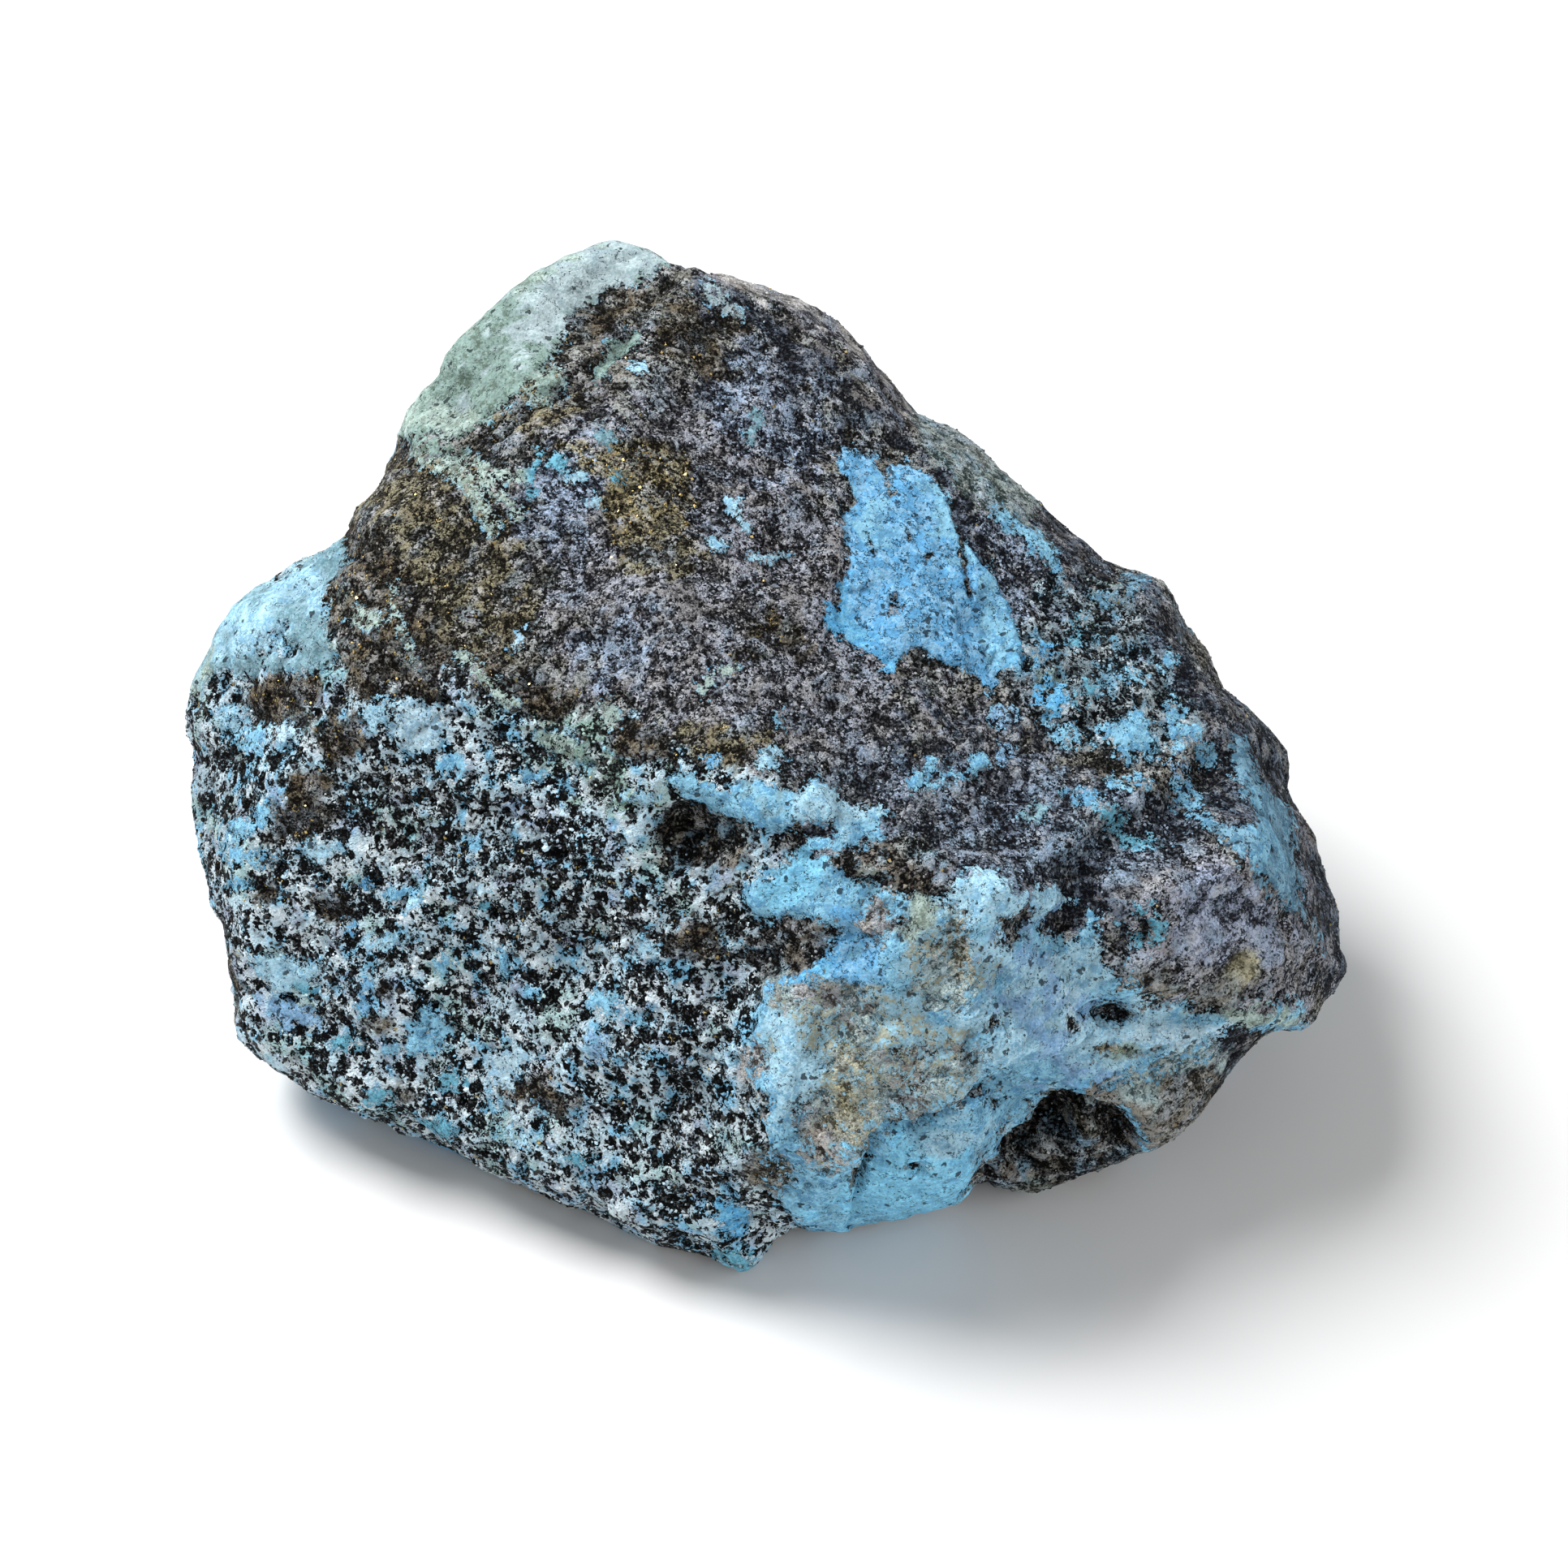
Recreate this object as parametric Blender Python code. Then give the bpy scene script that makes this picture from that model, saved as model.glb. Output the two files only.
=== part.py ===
"""A rough lump of turquoise in dark rock: one solid, lying on a flat break.

The stone is described in a leaning frame, in millimetres: u to the right, v up the
stone's broad side and w out of it, towards an eye at EYE_DISTANCE. The broad side leans
back, and the last step sets the stone down on its flat break, in metres with +Z up.
"""

import math

import bpy
import bmesh
import numpy as np

MM = 0.001
EYE_DISTANCE = 256.0
LEAN = math.radians(50.0)
BASE_DEPTH = 21.6
HEART = np.array([1.0, -1.0, -4.0])
STONE_COLOUR = (0.13, 0.20, 0.25, 1.0)
STONE_ROUGHNESS = 0.8

# The mesh: how finely the surface is sought and how far it is simplified.
CELLS = 84
MOST_TRIANGLES = 9600
BASE_SNAP = 0.1
FARTHEST = 60.0
MARCH_STEPS = 150
HALVINGS = 14
SHARP_ANGLE = math.radians(28.0)

# How softly the breaks meet, and how the brow curves back from the outline.
EDGE_ROUNDING = 0.8
VALLEY_ROUNDING = 1.4
STEP_ROUNDING = 0.35
BROW_BEND = 5.0
BROW_LEAN = 0.38
NOTCH_DEPTH = 9.0
PLAIN_HARMONICS = 6
OUTLINE_SAMPLES = 360

# The outline that the eye sees, clockwise from the peak: u, v, and the depth w of the brow.
OUTLINE = [
    (-10.6, 35.6, -6.0), (-8.6, 34.8, -6.0), (-6.5, 33.7, -5.0), (-3.5, 33.3, -5.0),
    (0.7, 32.1, -5.0), (3.8, 30.6, -5.0), (6.6, 28.2, -5.0), (9.0, 25.1, -5.0),
    (10.6, 23.7, -5.0), (13.3, 22.4, -5.0), (16.5, 19.6, -5.0), (20.1, 16.2, -5.0),
    (23.5, 13.5, -5.0), (25.0, 13.2, -5.0), (27.5, 11.9, -4.0), (28.8, 9.2, -4.0),
    (30.1, 7.7, -4.0), (31.6, 4.6, -4.0), (34.0, 2.7, -5.0), (36.0, 0.4, -6.0),
    (36.3, -2.2, -6.0), (37.9, -5.4, -6.0), (38.4, -7.8, -5.0), (39.5, -10.6, -4.0),
    (40.0, -12.8, -3.0), (39.9, -14.9, -2.0), (39.2, -16.0, -1.0), (37.1, -18.5, 0.0),
    (34.2, -19.1, 1.0), (32.7, -20.4, 0.0), (31.3, -22.7, 0.0), (28.3, -26.4, 0.0),
    (25.6, -27.6, 0.0), (21.6, -28.9, -1.0), (18.7, -30.1, -1.0), (16.3, -30.0, -1.0),
    (14.9, -29.1, 0.0), (14.3, -30.0, 1.0), (13.3, -31.1, 1.0), (9.9, -31.8, 1.0),
    (4.6, -32.7, 1.0), (2.2, -32.4, 1.0), (-0.3, -33.9, 1.0), (-1.2, -35.5, 1.0),
    (-2.1, -35.6, 1.0), (-4.2, -34.7, 0.0), (-8.1, -33.7, 0.0), (-12.2, -31.5, -1.0),
    (-16.8, -29.7, -2.0), (-21.5, -27.4, -3.0), (-26.9, -25.2, -4.0), (-31.5, -23.0, -5.0),
    (-34.6, -21.0, -5.0), (-35.8, -20.0, -5.0), (-36.7, -16.4, -4.0), (-37.1, -14.7, -3.0),
    (-36.9, -12.7, -3.0), (-38.3, -9.7, -3.0), (-39.3, -6.3, -3.0), (-40.0, -3.8, -3.0),
    (-39.6, 5.5, -3.0), (-38.9, 7.3, -3.0), (-35.8, 11.0, -3.0), (-33.1, 13.3, -3.0),
    (-30.3, 14.4, -3.0), (-29.2, 15.4, -3.0), (-26.3, 19.4, -3.0), (-25.2, 21.7, -3.0),
    (-24.5, 24.1, -3.0), (-21.5, 28.2, -4.0), (-18.0, 31.7, -5.0), (-16.0, 33.5, -6.0),
    (-14.3, 34.2, -6.0), (-12.3, 35.0, -6.0),
]

# Each mass is bounded by flat breaks: a point u, v, w on the break, the way it falls (in
# degrees, 0 to the right and 90 up), and how steeply, in millimetres down for each across.
MAIN_BODY = [
    (-8.0, 13.0, 13.0, 123.0, 0.33),
    (0.0, 26.0, 7.0, 96.0, 0.90),
    (-13.7, 26.5, 7.5, 129.0, 1.20),
    (-16.5, 2.3, 14.5, 223.0, 0.49),
    (-31.0, 8.0, 7.0, 167.0, 0.92),
    (-36.0, -8.0, 4.0, 186.0, 1.80),
    (-20.0, -27.0, 4.5, 243.0, 2.00),
    (8.0, 23.0, 6.5, 49.0, 1.30),
    (5.0, 8.0, 14.5, 36.0, 0.60),
    (25.7, 5.0, 5.5, 57.0, 0.65),
    (31.5, -5.0, 6.5, 24.0, 1.50),
    (12.0, -9.0, 15.5, 310.0, 1.10),
]
TURQUOISE_LUMP = [
    (8.8, -15.0, 18.0, 260.0, 0.30),
    (2.0, -18.0, 16.0, 182.0, 0.90),
    (15.5, -14.0, 17.8, 350.0, 0.85),
    (13.0, -10.0, 18.5, 80.0, 0.80),
    (11.5, -24.1, 14.5, 300.0, 3.00),
    (5.0, -28.5, 13.0, 262.0, 1.60),
]
LOWER_SHELF = [
    (11.0, -26.5, 11.5, 285.0, 0.45),
    (12.0, -30.0, 8.0, 275.0, 2.20),
    (15.5, -25.0, 11.0, 340.0, 1.20),
    (3.0, -28.0, 11.0, 190.0, 1.00),
    (9.0, -22.0, 12.0, 90.0, 1.20),
]
SADDLE = [
    (20.0, -16.0, 13.0, 300.0, 0.40),
    (20.5, -23.0, 9.5, 285.0, 1.10),
    (30.0, -18.0, 8.0, 320.0, 1.00),
    (20.0, -10.0, 13.0, 100.0, 1.00),
    (15.0, -16.0, 13.0, 185.0, 1.00),
]
RIGHT_LUMP = [
    (28.5, -11.0, 13.0, 337.0, 0.60),
    (25.5, -13.0, 14.0, 200.0, 0.55),
    (30.0, -18.2, 8.5, 282.0, 1.70),
    (34.6, -11.0, 8.0, 41.0, 1.60),
    (27.0, -7.5, 13.0, 85.0, 0.70),
]
CORNER_MASS = [
    (26.0, -22.0, 9.5, 300.0, 0.60),
    (29.0, -24.0, 6.0, 315.0, 1.80),
    (21.5, -22.0, 9.5, 180.0, 0.80),
    (26.0, -19.0, 9.5, 95.0, 1.00),
]
MASSES = [MAIN_BODY, TURQUOISE_LUMP, LOWER_SHELF, SADDLE, RIGHT_LUMP, CORNER_MASS]

# Hollows and swellings of the broad side: centre u, v, half width, half height, turn in
# degrees, how far the surface is raised (or sunk, below zero), and how sharp the rim is.
SWELLINGS = [
    (20.3, -28.6, 5.9, 4.7, 8.0, -5.5, 8.0),
    (22.4, -25.2, 0.9, 2.0, 5.0, 2.5, 3.0),
    (-34.5, 8.5, 5.5, 5.0, 30.0, 1.2, 3.0),
    (-8.5, 17.5, 5.0, 4.0, 0.0, -0.7, 3.0),
    (-4.0, -5.2, 3.2, 2.4, 10.0, -1.3, 4.0),
    (11.5, -8.0, 6.5, 1.6, -4.0, 1.0, 3.0),
    (16.5, -10.3, 2.2, 1.5, 25.0, 1.0, 3.0),
    (19.3, -9.6, 1.4, 1.2, 0.0, 0.8, 3.0),
    (4.0, -13.6, 4.0, 1.4, 8.0, -0.9, 3.0),
    (12.2, 5.0, 1.6, 3.6, 25.0, -0.6, 3.0),
    (11.5, 14.5, 4.5, 5.5, -20.0, 0.5, 5.0),
    (24.0, 2.5, 4.5, 3.0, 20.0, 0.7, 3.0),
    (31.5, -3.8, 2.0, 2.0, 0.0, 0.4, 3.0),
    (24.3, -18.0, 1.6, 0.9, 5.0, -0.8, 3.0),
    (25.0, -12.5, 1.1, 1.6, 10.0, -1.0, 3.0),
    (-18.0, -18.0, 6.0, 4.0, 20.0, -0.7, 3.0),
    (-27.0, -3.0, 5.0, 3.0, -30.0, -0.6, 3.0),
    (-8.0, -20.0, 5.0, 4.0, 0.0, 0.6, 3.0),
    (-2.5, -32.0, 2.2, 1.6, 60.0, 0.8, 3.0),
]

# Steps along broken layers of the broad side: both ends of the edge, how far behind it the
# layer lasts, and its height. The layer lies to the left of the line from end to end.
STEPS = [
    ((-9.6, 26.5), (-12.4, 22.0), 3.0, 0.4),
    ((-17.5, 24.6), (-25.0, 21.4), 3.0, 0.5),
    ((6.0, 21.0), (4.6, 9.0), 6.0, -0.5),
    ((17.8, 10.5), (13.6, 14.6), 4.0, 0.6),
    ((30.6, -1.5), (21.0, -1.0), 4.0, 0.4),
]

# The unseen sides, as flat breaks of the stone set down: the direction that each faces
# (x, y, z) and its distance from the frame's origin.
HIDDEN_BREAKS = [
    (0.10, 0.96, 0.27, 32.0),
    (-0.15, 0.80, 0.58, 37.5),
    (-0.66, 0.74, 0.10, 31.5),
    (-0.86, 0.42, 0.28, 36.5),
    (0.66, 0.74, 0.16, 30.5),
    (0.88, 0.42, 0.20, 34.0),
    (0.30, 0.86, -0.40, 30.5),
    (-0.42, 0.74, -0.52, 33.0),
    (-0.90, 0.05, -0.43, 38.6),
    (-0.74, 0.46, -0.50, 37.0),
    (-0.62, -0.50, -0.60, 37.5),
    (0.80, -0.02, -0.60, 38.9),
    (0.70, 0.52, -0.48, 34.5),
    (0.55, -0.62, -0.56, 36.6),
    (-0.10, -0.86, -0.50, 35.8),
]

# Corners knocked off the unseen sides, and shell-shaped scars in them. Each faces away from
# the eye by AWAY_ENOUGH or more, and none faces down as steeply as LEVEL_ENOUGH.
CHIPS = 90
CHIP_DEPTHS = (0.4, 2.4)
CHIP_ROUNDING = 0.5
SCARS = 14
SCAR_RADII = (22.0, 45.0)
SCAR_DEPTHS = (0.7, 1.6)
AWAY_ENOUGH = -0.15
LEVEL_ENOUGH = -0.75
TRIES_EACH = 12
BROW_MARGIN = 0.25
GRAZING = 0.01

# Low relief all over: creased facets and rounder ripples, both fading out over ROUGH_FADE
# near the outline and the flat break.
FACET_SIZE = 9.0
FACET_DEPTH = 0.22
FACET_WAVES = 12
FACET_SPREAD = (0.8, 2.2)
FACET_BEND = 0.3
FACET_BEND_SIZE = 18.0
RIPPLE_SIZE = 6.0
RIPPLE_DEPTH = 0.2
RIPPLE_WAVES = 24
RIPPLE_SPREAD = (0.7, 1.6)
ROUGH_FADE = 2.0
SEED = 4


def rise(distance):
    """A soft step from 0 to 1 as the distance goes from below zero to above it."""
    return 0.5 + 0.5 * np.tanh(distance)


def blend_min(a, b, rounding):
    """The lower of two heights, with the corner between them rounded."""
    share = np.clip(0.5 + 0.5 * (b - a) / rounding, 0.0, 1.0)
    return b * (1.0 - share) + a * share - rounding * share * (1.0 - share)


def blend_max(a, b, rounding):
    """The higher of two heights, with the corner between them rounded."""
    return -blend_min(-a, -b, rounding)


def mass_height(mass, u, v):
    """How far a mass stands out at u, v: the lowest of its breaks."""
    height = None
    for at_u, at_v, at_w, towards, slope in mass:
        turn = math.radians(towards)
        fall = slope * ((u - at_u) * math.cos(turn) + (v - at_v) * math.sin(turn))
        plane = at_w - fall
        height = plane if height is None else blend_min(height, plane, EDGE_ROUNDING)
    return height


def swelling_height(u, v):
    """What the hollows and swellings add to the broad side at u, v."""
    total = np.zeros_like(u)
    for at_u, at_v, half_width, half_height, turn, lift, sharpness in SWELLINGS:
        turn = math.radians(turn)
        along = (u - at_u) * math.cos(turn) + (v - at_v) * math.sin(turn)
        across = (v - at_v) * math.cos(turn) - (u - at_u) * math.sin(turn)
        away = (along / half_width) ** 2 + (across / half_height) ** 2
        total += lift / (1.0 + away**sharpness)
    return total


def step_height(u, v):
    """What the broken layers add to the broad side at u, v."""
    total = np.zeros_like(u)
    for (start_u, start_v), (end_u, end_v), lasts, lift in STEPS:
        length = math.hypot(end_u - start_u, end_v - start_v)
        run_u = (end_u - start_u) / length
        run_v = (end_v - start_v) / length
        along = (u - start_u) * run_u + (v - start_v) * run_v
        behind = (v - start_v) * run_u - (u - start_u) * run_v
        fade = np.exp(-np.maximum(behind, 0.0) / lasts)
        total += lift * rise(behind / STEP_ROUNDING) * fade * rise(along) * rise(length - along)
    return total


def broad_side(u, v):
    """The height of the side that faces the eye."""
    height = mass_height(MASSES[0], u, v)
    for mass in MASSES[1:]:
        height = blend_max(height, mass_height(mass, u, v), VALLEY_ROUNDING)
    return height + swelling_height(u, v) + step_height(u, v)


def outline_at(angle):
    """The outline's reach from the axis and its depth, at each angle round the axis."""
    points = np.array(OUTLINE)
    angles = np.arctan2(points[:, 1], points[:, 0])
    order = np.argsort(angles)
    reach = np.hypot(points[:, 0], points[:, 1])[order]
    depth = points[order, 2]
    turn = 2.0 * math.pi
    return (
        np.interp(angle, angles[order], reach, period=turn),
        np.interp(angle, angles[order], depth, period=turn),
    )


def plain_outline_at(angle):
    """The outline's reach without its small notches: its first few harmonics."""
    around = np.linspace(-math.pi, math.pi, OUTLINE_SAMPLES, endpoint=False)
    waves = np.fft.rfft(outline_at(around)[0])
    waves[PLAIN_HARMONICS:] = 0.0
    plain = np.fft.irfft(waves, OUTLINE_SAMPLES)
    return np.interp(angle, around, plain, period=2.0 * math.pi)


def set_down(points):
    """The leaning frame's points, turned so that the flat break is level."""
    u, v, w = points.T
    y = v * math.sin(LEAN) - w * math.cos(LEAN)
    z = v * math.cos(LEAN) + w * math.sin(LEAN)
    return np.column_stack((u, y, z))


def outside(points):
    """Above zero outside the stone and below zero in it."""
    nearness = 1.0 - points[:, 2] / EYE_DISTANCE
    u = points[:, 0] / nearness
    v = points[:, 1] / nearness
    w = points[:, 2]
    angle = np.arctan2(v, u)
    reach, depth = outline_at(angle)
    off_brow = np.clip(np.abs(w - depth) / NOTCH_DEPTH, 0.0, 1.0)
    reach += (plain_outline_at(angle) - reach) * off_brow
    brow = np.hypot(u, v) - reach + BROW_LEAN * (np.hypot(w - depth, BROW_BEND) - BROW_BEND)
    found = blend_max(w - broad_side(u, v), brow, EDGE_ROUNDING)
    placed = set_down(points)
    for x, y, z, distance in HIDDEN_BREAKS:
        length = math.sqrt(x * x + y * y + z * z)
        side = placed @ np.array([x, y, z]) / length - distance
        found = blend_max(found, side, EDGE_ROUNDING)
    return np.maximum(found, -BASE_DEPTH - placed[:, 2])


def sphere_mesh(cells):
    """A closed mesh of even four-sided cells on a ball."""
    mesh = bmesh.new()
    bmesh.ops.create_cube(mesh, size=2.0)
    bmesh.ops.subdivide_edges(mesh, edges=mesh.edges, cuts=cells - 1, use_grid_fill=True)
    for vert in mesh.verts:
        vert.co = [math.tan(side * math.pi / 4.0) for side in vert.co]
        vert.co.normalize()
    return mesh


def random_waves(size, spread, count, rng):
    """Waves across space in random directions, as one column each, with lengths about a size."""
    directions = rng.normal(size=(count, 3))
    directions /= np.linalg.norm(directions, axis=1)[:, None]
    lengths = size * rng.uniform(*spread, count)
    return (directions / lengths[:, None]).T


def ripples(points, size, rng):
    """A smooth random field whose swells are about this size."""
    waves = random_waves(size, RIPPLE_SPREAD, RIPPLE_WAVES, rng)
    turns = points @ waves + rng.uniform(0.0, 1.0, RIPPLE_WAVES)
    return np.sin(2.0 * math.pi * turns).sum(axis=1) * math.sqrt(2.0 / RIPPLE_WAVES)


def facets(points, rng):
    """Flat facets that meet in creases: folded ramps, each from -1 to 1, laid over each other."""
    bends = [ripples(points, FACET_BEND_SIZE, rng) for _ in range(3)]
    bent = points + FACET_BEND * FACET_SIZE * np.column_stack(bends)
    waves = random_waves(FACET_SIZE, FACET_SPREAD, FACET_WAVES, rng)
    turns = bent @ waves + rng.uniform(0.0, 1.0, FACET_WAVES)
    ramps = 4.0 * np.abs(turns - np.round(turns)) - 1.0
    return ramps.mean(axis=1) * math.sqrt(FACET_WAVES)


def surface_distance(directions):
    """How far the stone's surface is from its heart, along each direction."""
    far = np.full(len(directions), FARTHEST)
    waiting = np.ones(len(directions), bool)
    step = FARTHEST / MARCH_STEPS
    while waiting.any():
        tried = far[waiting, None] - step
        still_out = outside(HEART + directions[waiting] * tried) > 0.0
        far[np.flatnonzero(waiting)[still_out]] -= step
        waiting[np.flatnonzero(waiting)[~still_out]] = False
    near = far - step
    for _ in range(HALVINGS):
        middle = 0.5 * (near + far)
        out = outside(HEART + directions * middle[:, None]) > 0.0
        far = np.where(out, middle, far)
        near = np.where(out, near, middle)
    return near


def brow_points():
    """The outline's points where they are in space."""
    points = np.array(OUTLINE)
    points[:, :2] *= (1.0 - points[:, 2] / EYE_DISTANCE)[:, None]
    return points


def unseen_directions(count, rng):
    """Random directions that face away from the eye and don't face down."""
    found = rng.normal(size=(TRIES_EACH * count, 3))
    found /= np.linalg.norm(found, axis=1)[:, None]
    unseen = (found[:, 2] < AWAY_ENOUGH) & (set_down(found)[:, 2] > LEVEL_ENOUGH)
    return found[unseen][:count]


def knock_off_corners(reach, directions, rng):
    """Flat chips, none of them deep enough to change the outline."""
    brow = brow_points()
    points = HEART + directions * reach[:, None]
    for facing in unseen_directions(CHIPS, rng):
        farthest = (points @ facing).max() - rng.uniform(*CHIP_DEPTHS)
        distance = max(farthest, (brow @ facing).max() + BROW_MARGIN)
        along = np.maximum(directions @ facing, GRAZING)
        limit = (distance - HEART @ facing) / along
        reach = blend_min(reach, limit, CHIP_ROUNDING)
    return reach


def scoop_scars(reach, directions, rng):
    """Shell-shaped scars: each is where a ball outside the stone bites into it."""
    brow = brow_points()
    for facing in unseen_directions(SCARS, rng):
        radius = rng.uniform(*SCAR_RADII)
        depth = rng.uniform(*SCAR_DEPTHS)
        surface = reach[(directions @ facing).argmax()]
        centre = HEART + facing * (surface + radius - depth)
        nearest_brow = np.linalg.norm(brow - centre, axis=1).min()
        radius = min(radius, nearest_brow - BROW_MARGIN)
        towards = directions @ (centre - HEART)
        inside = towards**2 - ((centre - HEART) ** 2).sum() + radius**2
        bite = towards - np.sqrt(np.maximum(inside, 0.0))
        limit = np.where((inside > 0.0) & (towards > 0.0), bite, FARTHEST)
        reach = blend_min(reach, limit, CHIP_ROUNDING)
    return reach


def roughen(reach, directions, rng):
    """Facets and ripples along each direction, none at the outline or on the flat break."""
    points = HEART + directions * reach[:, None]
    nearness = 1.0 - points[:, 2] / EYE_DISTANCE
    outline, _ = outline_at(np.arctan2(points[:, 1], points[:, 0]))
    inside = outline - np.hypot(points[:, 0], points[:, 1]) / nearness
    off_outline = 1.0 - np.exp(-((inside / ROUGH_FADE) ** 2))
    above_base = np.clip((set_down(points)[:, 2] + BASE_DEPTH) / ROUGH_FADE, 0.0, 1.0)
    lift = FACET_DEPTH * facets(points, rng)
    lift += RIPPLE_DEPTH * ripples(points, RIPPLE_SIZE, rng)
    return reach + lift * off_outline * above_base


def stone_points(directions):
    """The surface along each direction, set down on the flat break."""
    rng = np.random.default_rng(SEED)
    reach = surface_distance(directions)
    for change in (knock_off_corners, scoop_scars, roughen):
        reach = change(reach, directions, rng)
    placed = set_down(HEART + directions * reach[:, None])
    placed[:, 2] = np.maximum(placed[:, 2], -BASE_DEPTH)
    return placed


def stone_material():
    """Dull blue-grey rock, the mean of the dark matrix and the turquoise."""
    material = bpy.data.materials.new("turquoise_in_rock")
    material.use_nodes = True
    shader = material.node_tree.nodes["Principled BSDF"]
    shader.inputs["Base Color"].default_value = STONE_COLOUR
    shader.inputs["Roughness"].default_value = STONE_ROUGHNESS
    shader.inputs["Metallic"].default_value = 0.0
    material.diffuse_color = STONE_COLOUR
    return material


def fewer_triangles(stone):
    """Joins the smallest triangles until MOST_TRIANGLES are left, and levels the base again."""
    fewer = stone.modifiers.new("fewer", "DECIMATE")
    fewer.ratio = MOST_TRIANGLES / len(stone.data.polygons)
    graph = bpy.context.evaluated_depsgraph_get()
    reduced = bpy.data.meshes.new_from_object(stone.evaluated_get(graph))
    stone.modifiers.clear()
    stone.data = reduced
    base = -BASE_DEPTH * MM
    for vert in reduced.vertices:
        if vert.co.z < base + BASE_SNAP * MM:
            vert.co.z = base


def make_stone():
    """The whole stone, centred over its flat break."""
    mesh = sphere_mesh(CELLS)
    directions = np.array([vert.co[:] for vert in mesh.verts])
    for vert, point in zip(mesh.verts, stone_points(directions)):
        vert.co = point * MM
    bmesh.ops.triangulate(mesh, faces=mesh.faces)
    bmesh.ops.recalc_face_normals(mesh, faces=mesh.faces)
    data = bpy.data.meshes.new("turquoise_stone")
    mesh.to_mesh(data)
    mesh.free()
    stone = bpy.data.objects.new("turquoise_stone", data)
    bpy.context.scene.collection.objects.link(stone)
    data.materials.append(stone_material())
    fewer_triangles(stone)
    stone.data.shade_smooth()
    stone.data.set_sharp_from_angle(angle=SHARP_ANGLE)
    corners = np.array([vert.co[:] for vert in stone.data.vertices])
    middle = 0.5 * (corners.min(axis=0) + corners.max(axis=0))
    stone.location = (-middle[0], -middle[1], BASE_DEPTH * MM)
    return stone


def main():
    for old in list(bpy.data.objects):
        bpy.data.objects.remove(old, do_unlink=True)
    make_stone()


main()
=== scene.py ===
"""Rough turquoise in dark rock: the finish of the stone, its grains, and a pale studio.

The broad side is described as the eye sees it, in pixels of a picture in which one
millimetre is PIXELS_PER_MM pixels and AXIS_PIXEL is the eye's axis. Each patch of turquoise
or kind of rock is an outline there, and the sides that the eye doesn't see get patches of
the same kinds from a random field in space. Lengths are in millimetres unless they say so.
"""

import collections
import math

import bmesh
import bpy
import numpy as np
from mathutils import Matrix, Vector, noise
from mathutils.bvhtree import BVHTree

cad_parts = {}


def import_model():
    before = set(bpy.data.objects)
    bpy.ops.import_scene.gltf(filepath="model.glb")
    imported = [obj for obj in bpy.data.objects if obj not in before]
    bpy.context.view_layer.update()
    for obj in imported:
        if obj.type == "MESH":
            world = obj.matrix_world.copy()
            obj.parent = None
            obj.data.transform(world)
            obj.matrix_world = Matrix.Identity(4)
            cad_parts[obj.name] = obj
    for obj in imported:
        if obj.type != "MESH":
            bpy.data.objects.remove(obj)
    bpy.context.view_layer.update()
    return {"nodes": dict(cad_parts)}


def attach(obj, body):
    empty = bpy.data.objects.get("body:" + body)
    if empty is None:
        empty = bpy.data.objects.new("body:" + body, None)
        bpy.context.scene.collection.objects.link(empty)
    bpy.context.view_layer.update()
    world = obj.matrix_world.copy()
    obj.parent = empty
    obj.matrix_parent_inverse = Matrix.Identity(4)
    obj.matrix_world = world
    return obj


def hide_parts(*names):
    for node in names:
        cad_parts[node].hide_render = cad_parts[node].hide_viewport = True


MM = 0.001
NODE = "turquoise_stone"

# The leaning frame of the broad side: u right, v up the side and w out of it, to the eye.
LEAN = math.radians(50.0)
RIGHT = np.array([1.0, 0.0, 0.0])
UP = np.array([0.0, math.sin(LEAN), math.cos(LEAN)])
BACK = np.array([0.0, -math.cos(LEAN), math.sin(LEAN)])
ORIGIN = np.array([0.175, -2.244, 21.6])
HEART = np.array([1.175, -0.439, 17.893])
EYE_DISTANCE = 256.0
PIXELS_PER_MM = 17.8
AXIS_PIXEL = (943.5, 931.5)
AIM_PIXEL = (966.0, 966.0)

# Random fields: how far apart two seeds are, and how finer octaves fade and shrink.
SEED_STEP = 17.3
FADING = 0.8
REFINING = 2.1

# Facets of a break: what makes each one's tilt from its middle, and how it falls away.
CHIP_WAYS = np.array([[1.7, 9.2, 4.3], [8.1, 2.9, 6.7], [3.3, 5.9, 9.7]])
CHIP_TURN = 43.7
CHIP_FALL = 1.2

# The skin: cells along each side of the ball, its warp to the eye, how often its corners and
# their directions are smoothed, the height under which it is the flat base, and the seed of
# the grains on it.
CELLS = 128
SIDE_STRETCH = 1.8
EYE_SHIFT = 0.55
FACET_SMOOTHING = 1
NORMAL_SMOOTHING = 4
BASE_DEPTH = 0.02
SEED = 11

# The material: its large and small grains, and the colours that are the same all over.
LARGE_GRAIN = 0.74
SMALL_GRAIN = 0.33
SPECK_COLOUR = (0.012, 0.016, 0.022, 1.0)
RIM_COLOUR = (0.03, 0.12, 0.22, 1.0)
SPARK_COLOUR = (0.50, 0.37, 0.14, 1.0)
TARNISH_COLOUR = (0.30, 0.20, 0.07, 1.0)
BRASS_COLOUR = (0.83, 0.64, 0.28, 1.0)

# The studio: half the floor, its gap to the stone and the point that is lit, in metres, the
# floor's colours, and how bright the white room is.
FLOOR_HALF = 4.0
FLOOR_GAP = 0.00005
LIT_POINT = (0.0, 0.0, 0.02)
FLOOR_COLOURS = ((0.86, 0.86, 0.86, 1.0), (0.90, 0.90, 0.90, 1.0))
ROOM_LIGHT = 0.32


def paint(red, green, blue):
    """A colour as a screen shows it, in 0 to 255, as the light it reflects."""
    shares = np.array([red, green, blue]) / 255.0
    return np.where(shares <= 0.04045, shares / 12.92, ((shares + 0.055) / 1.055) ** 2.4)


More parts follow.
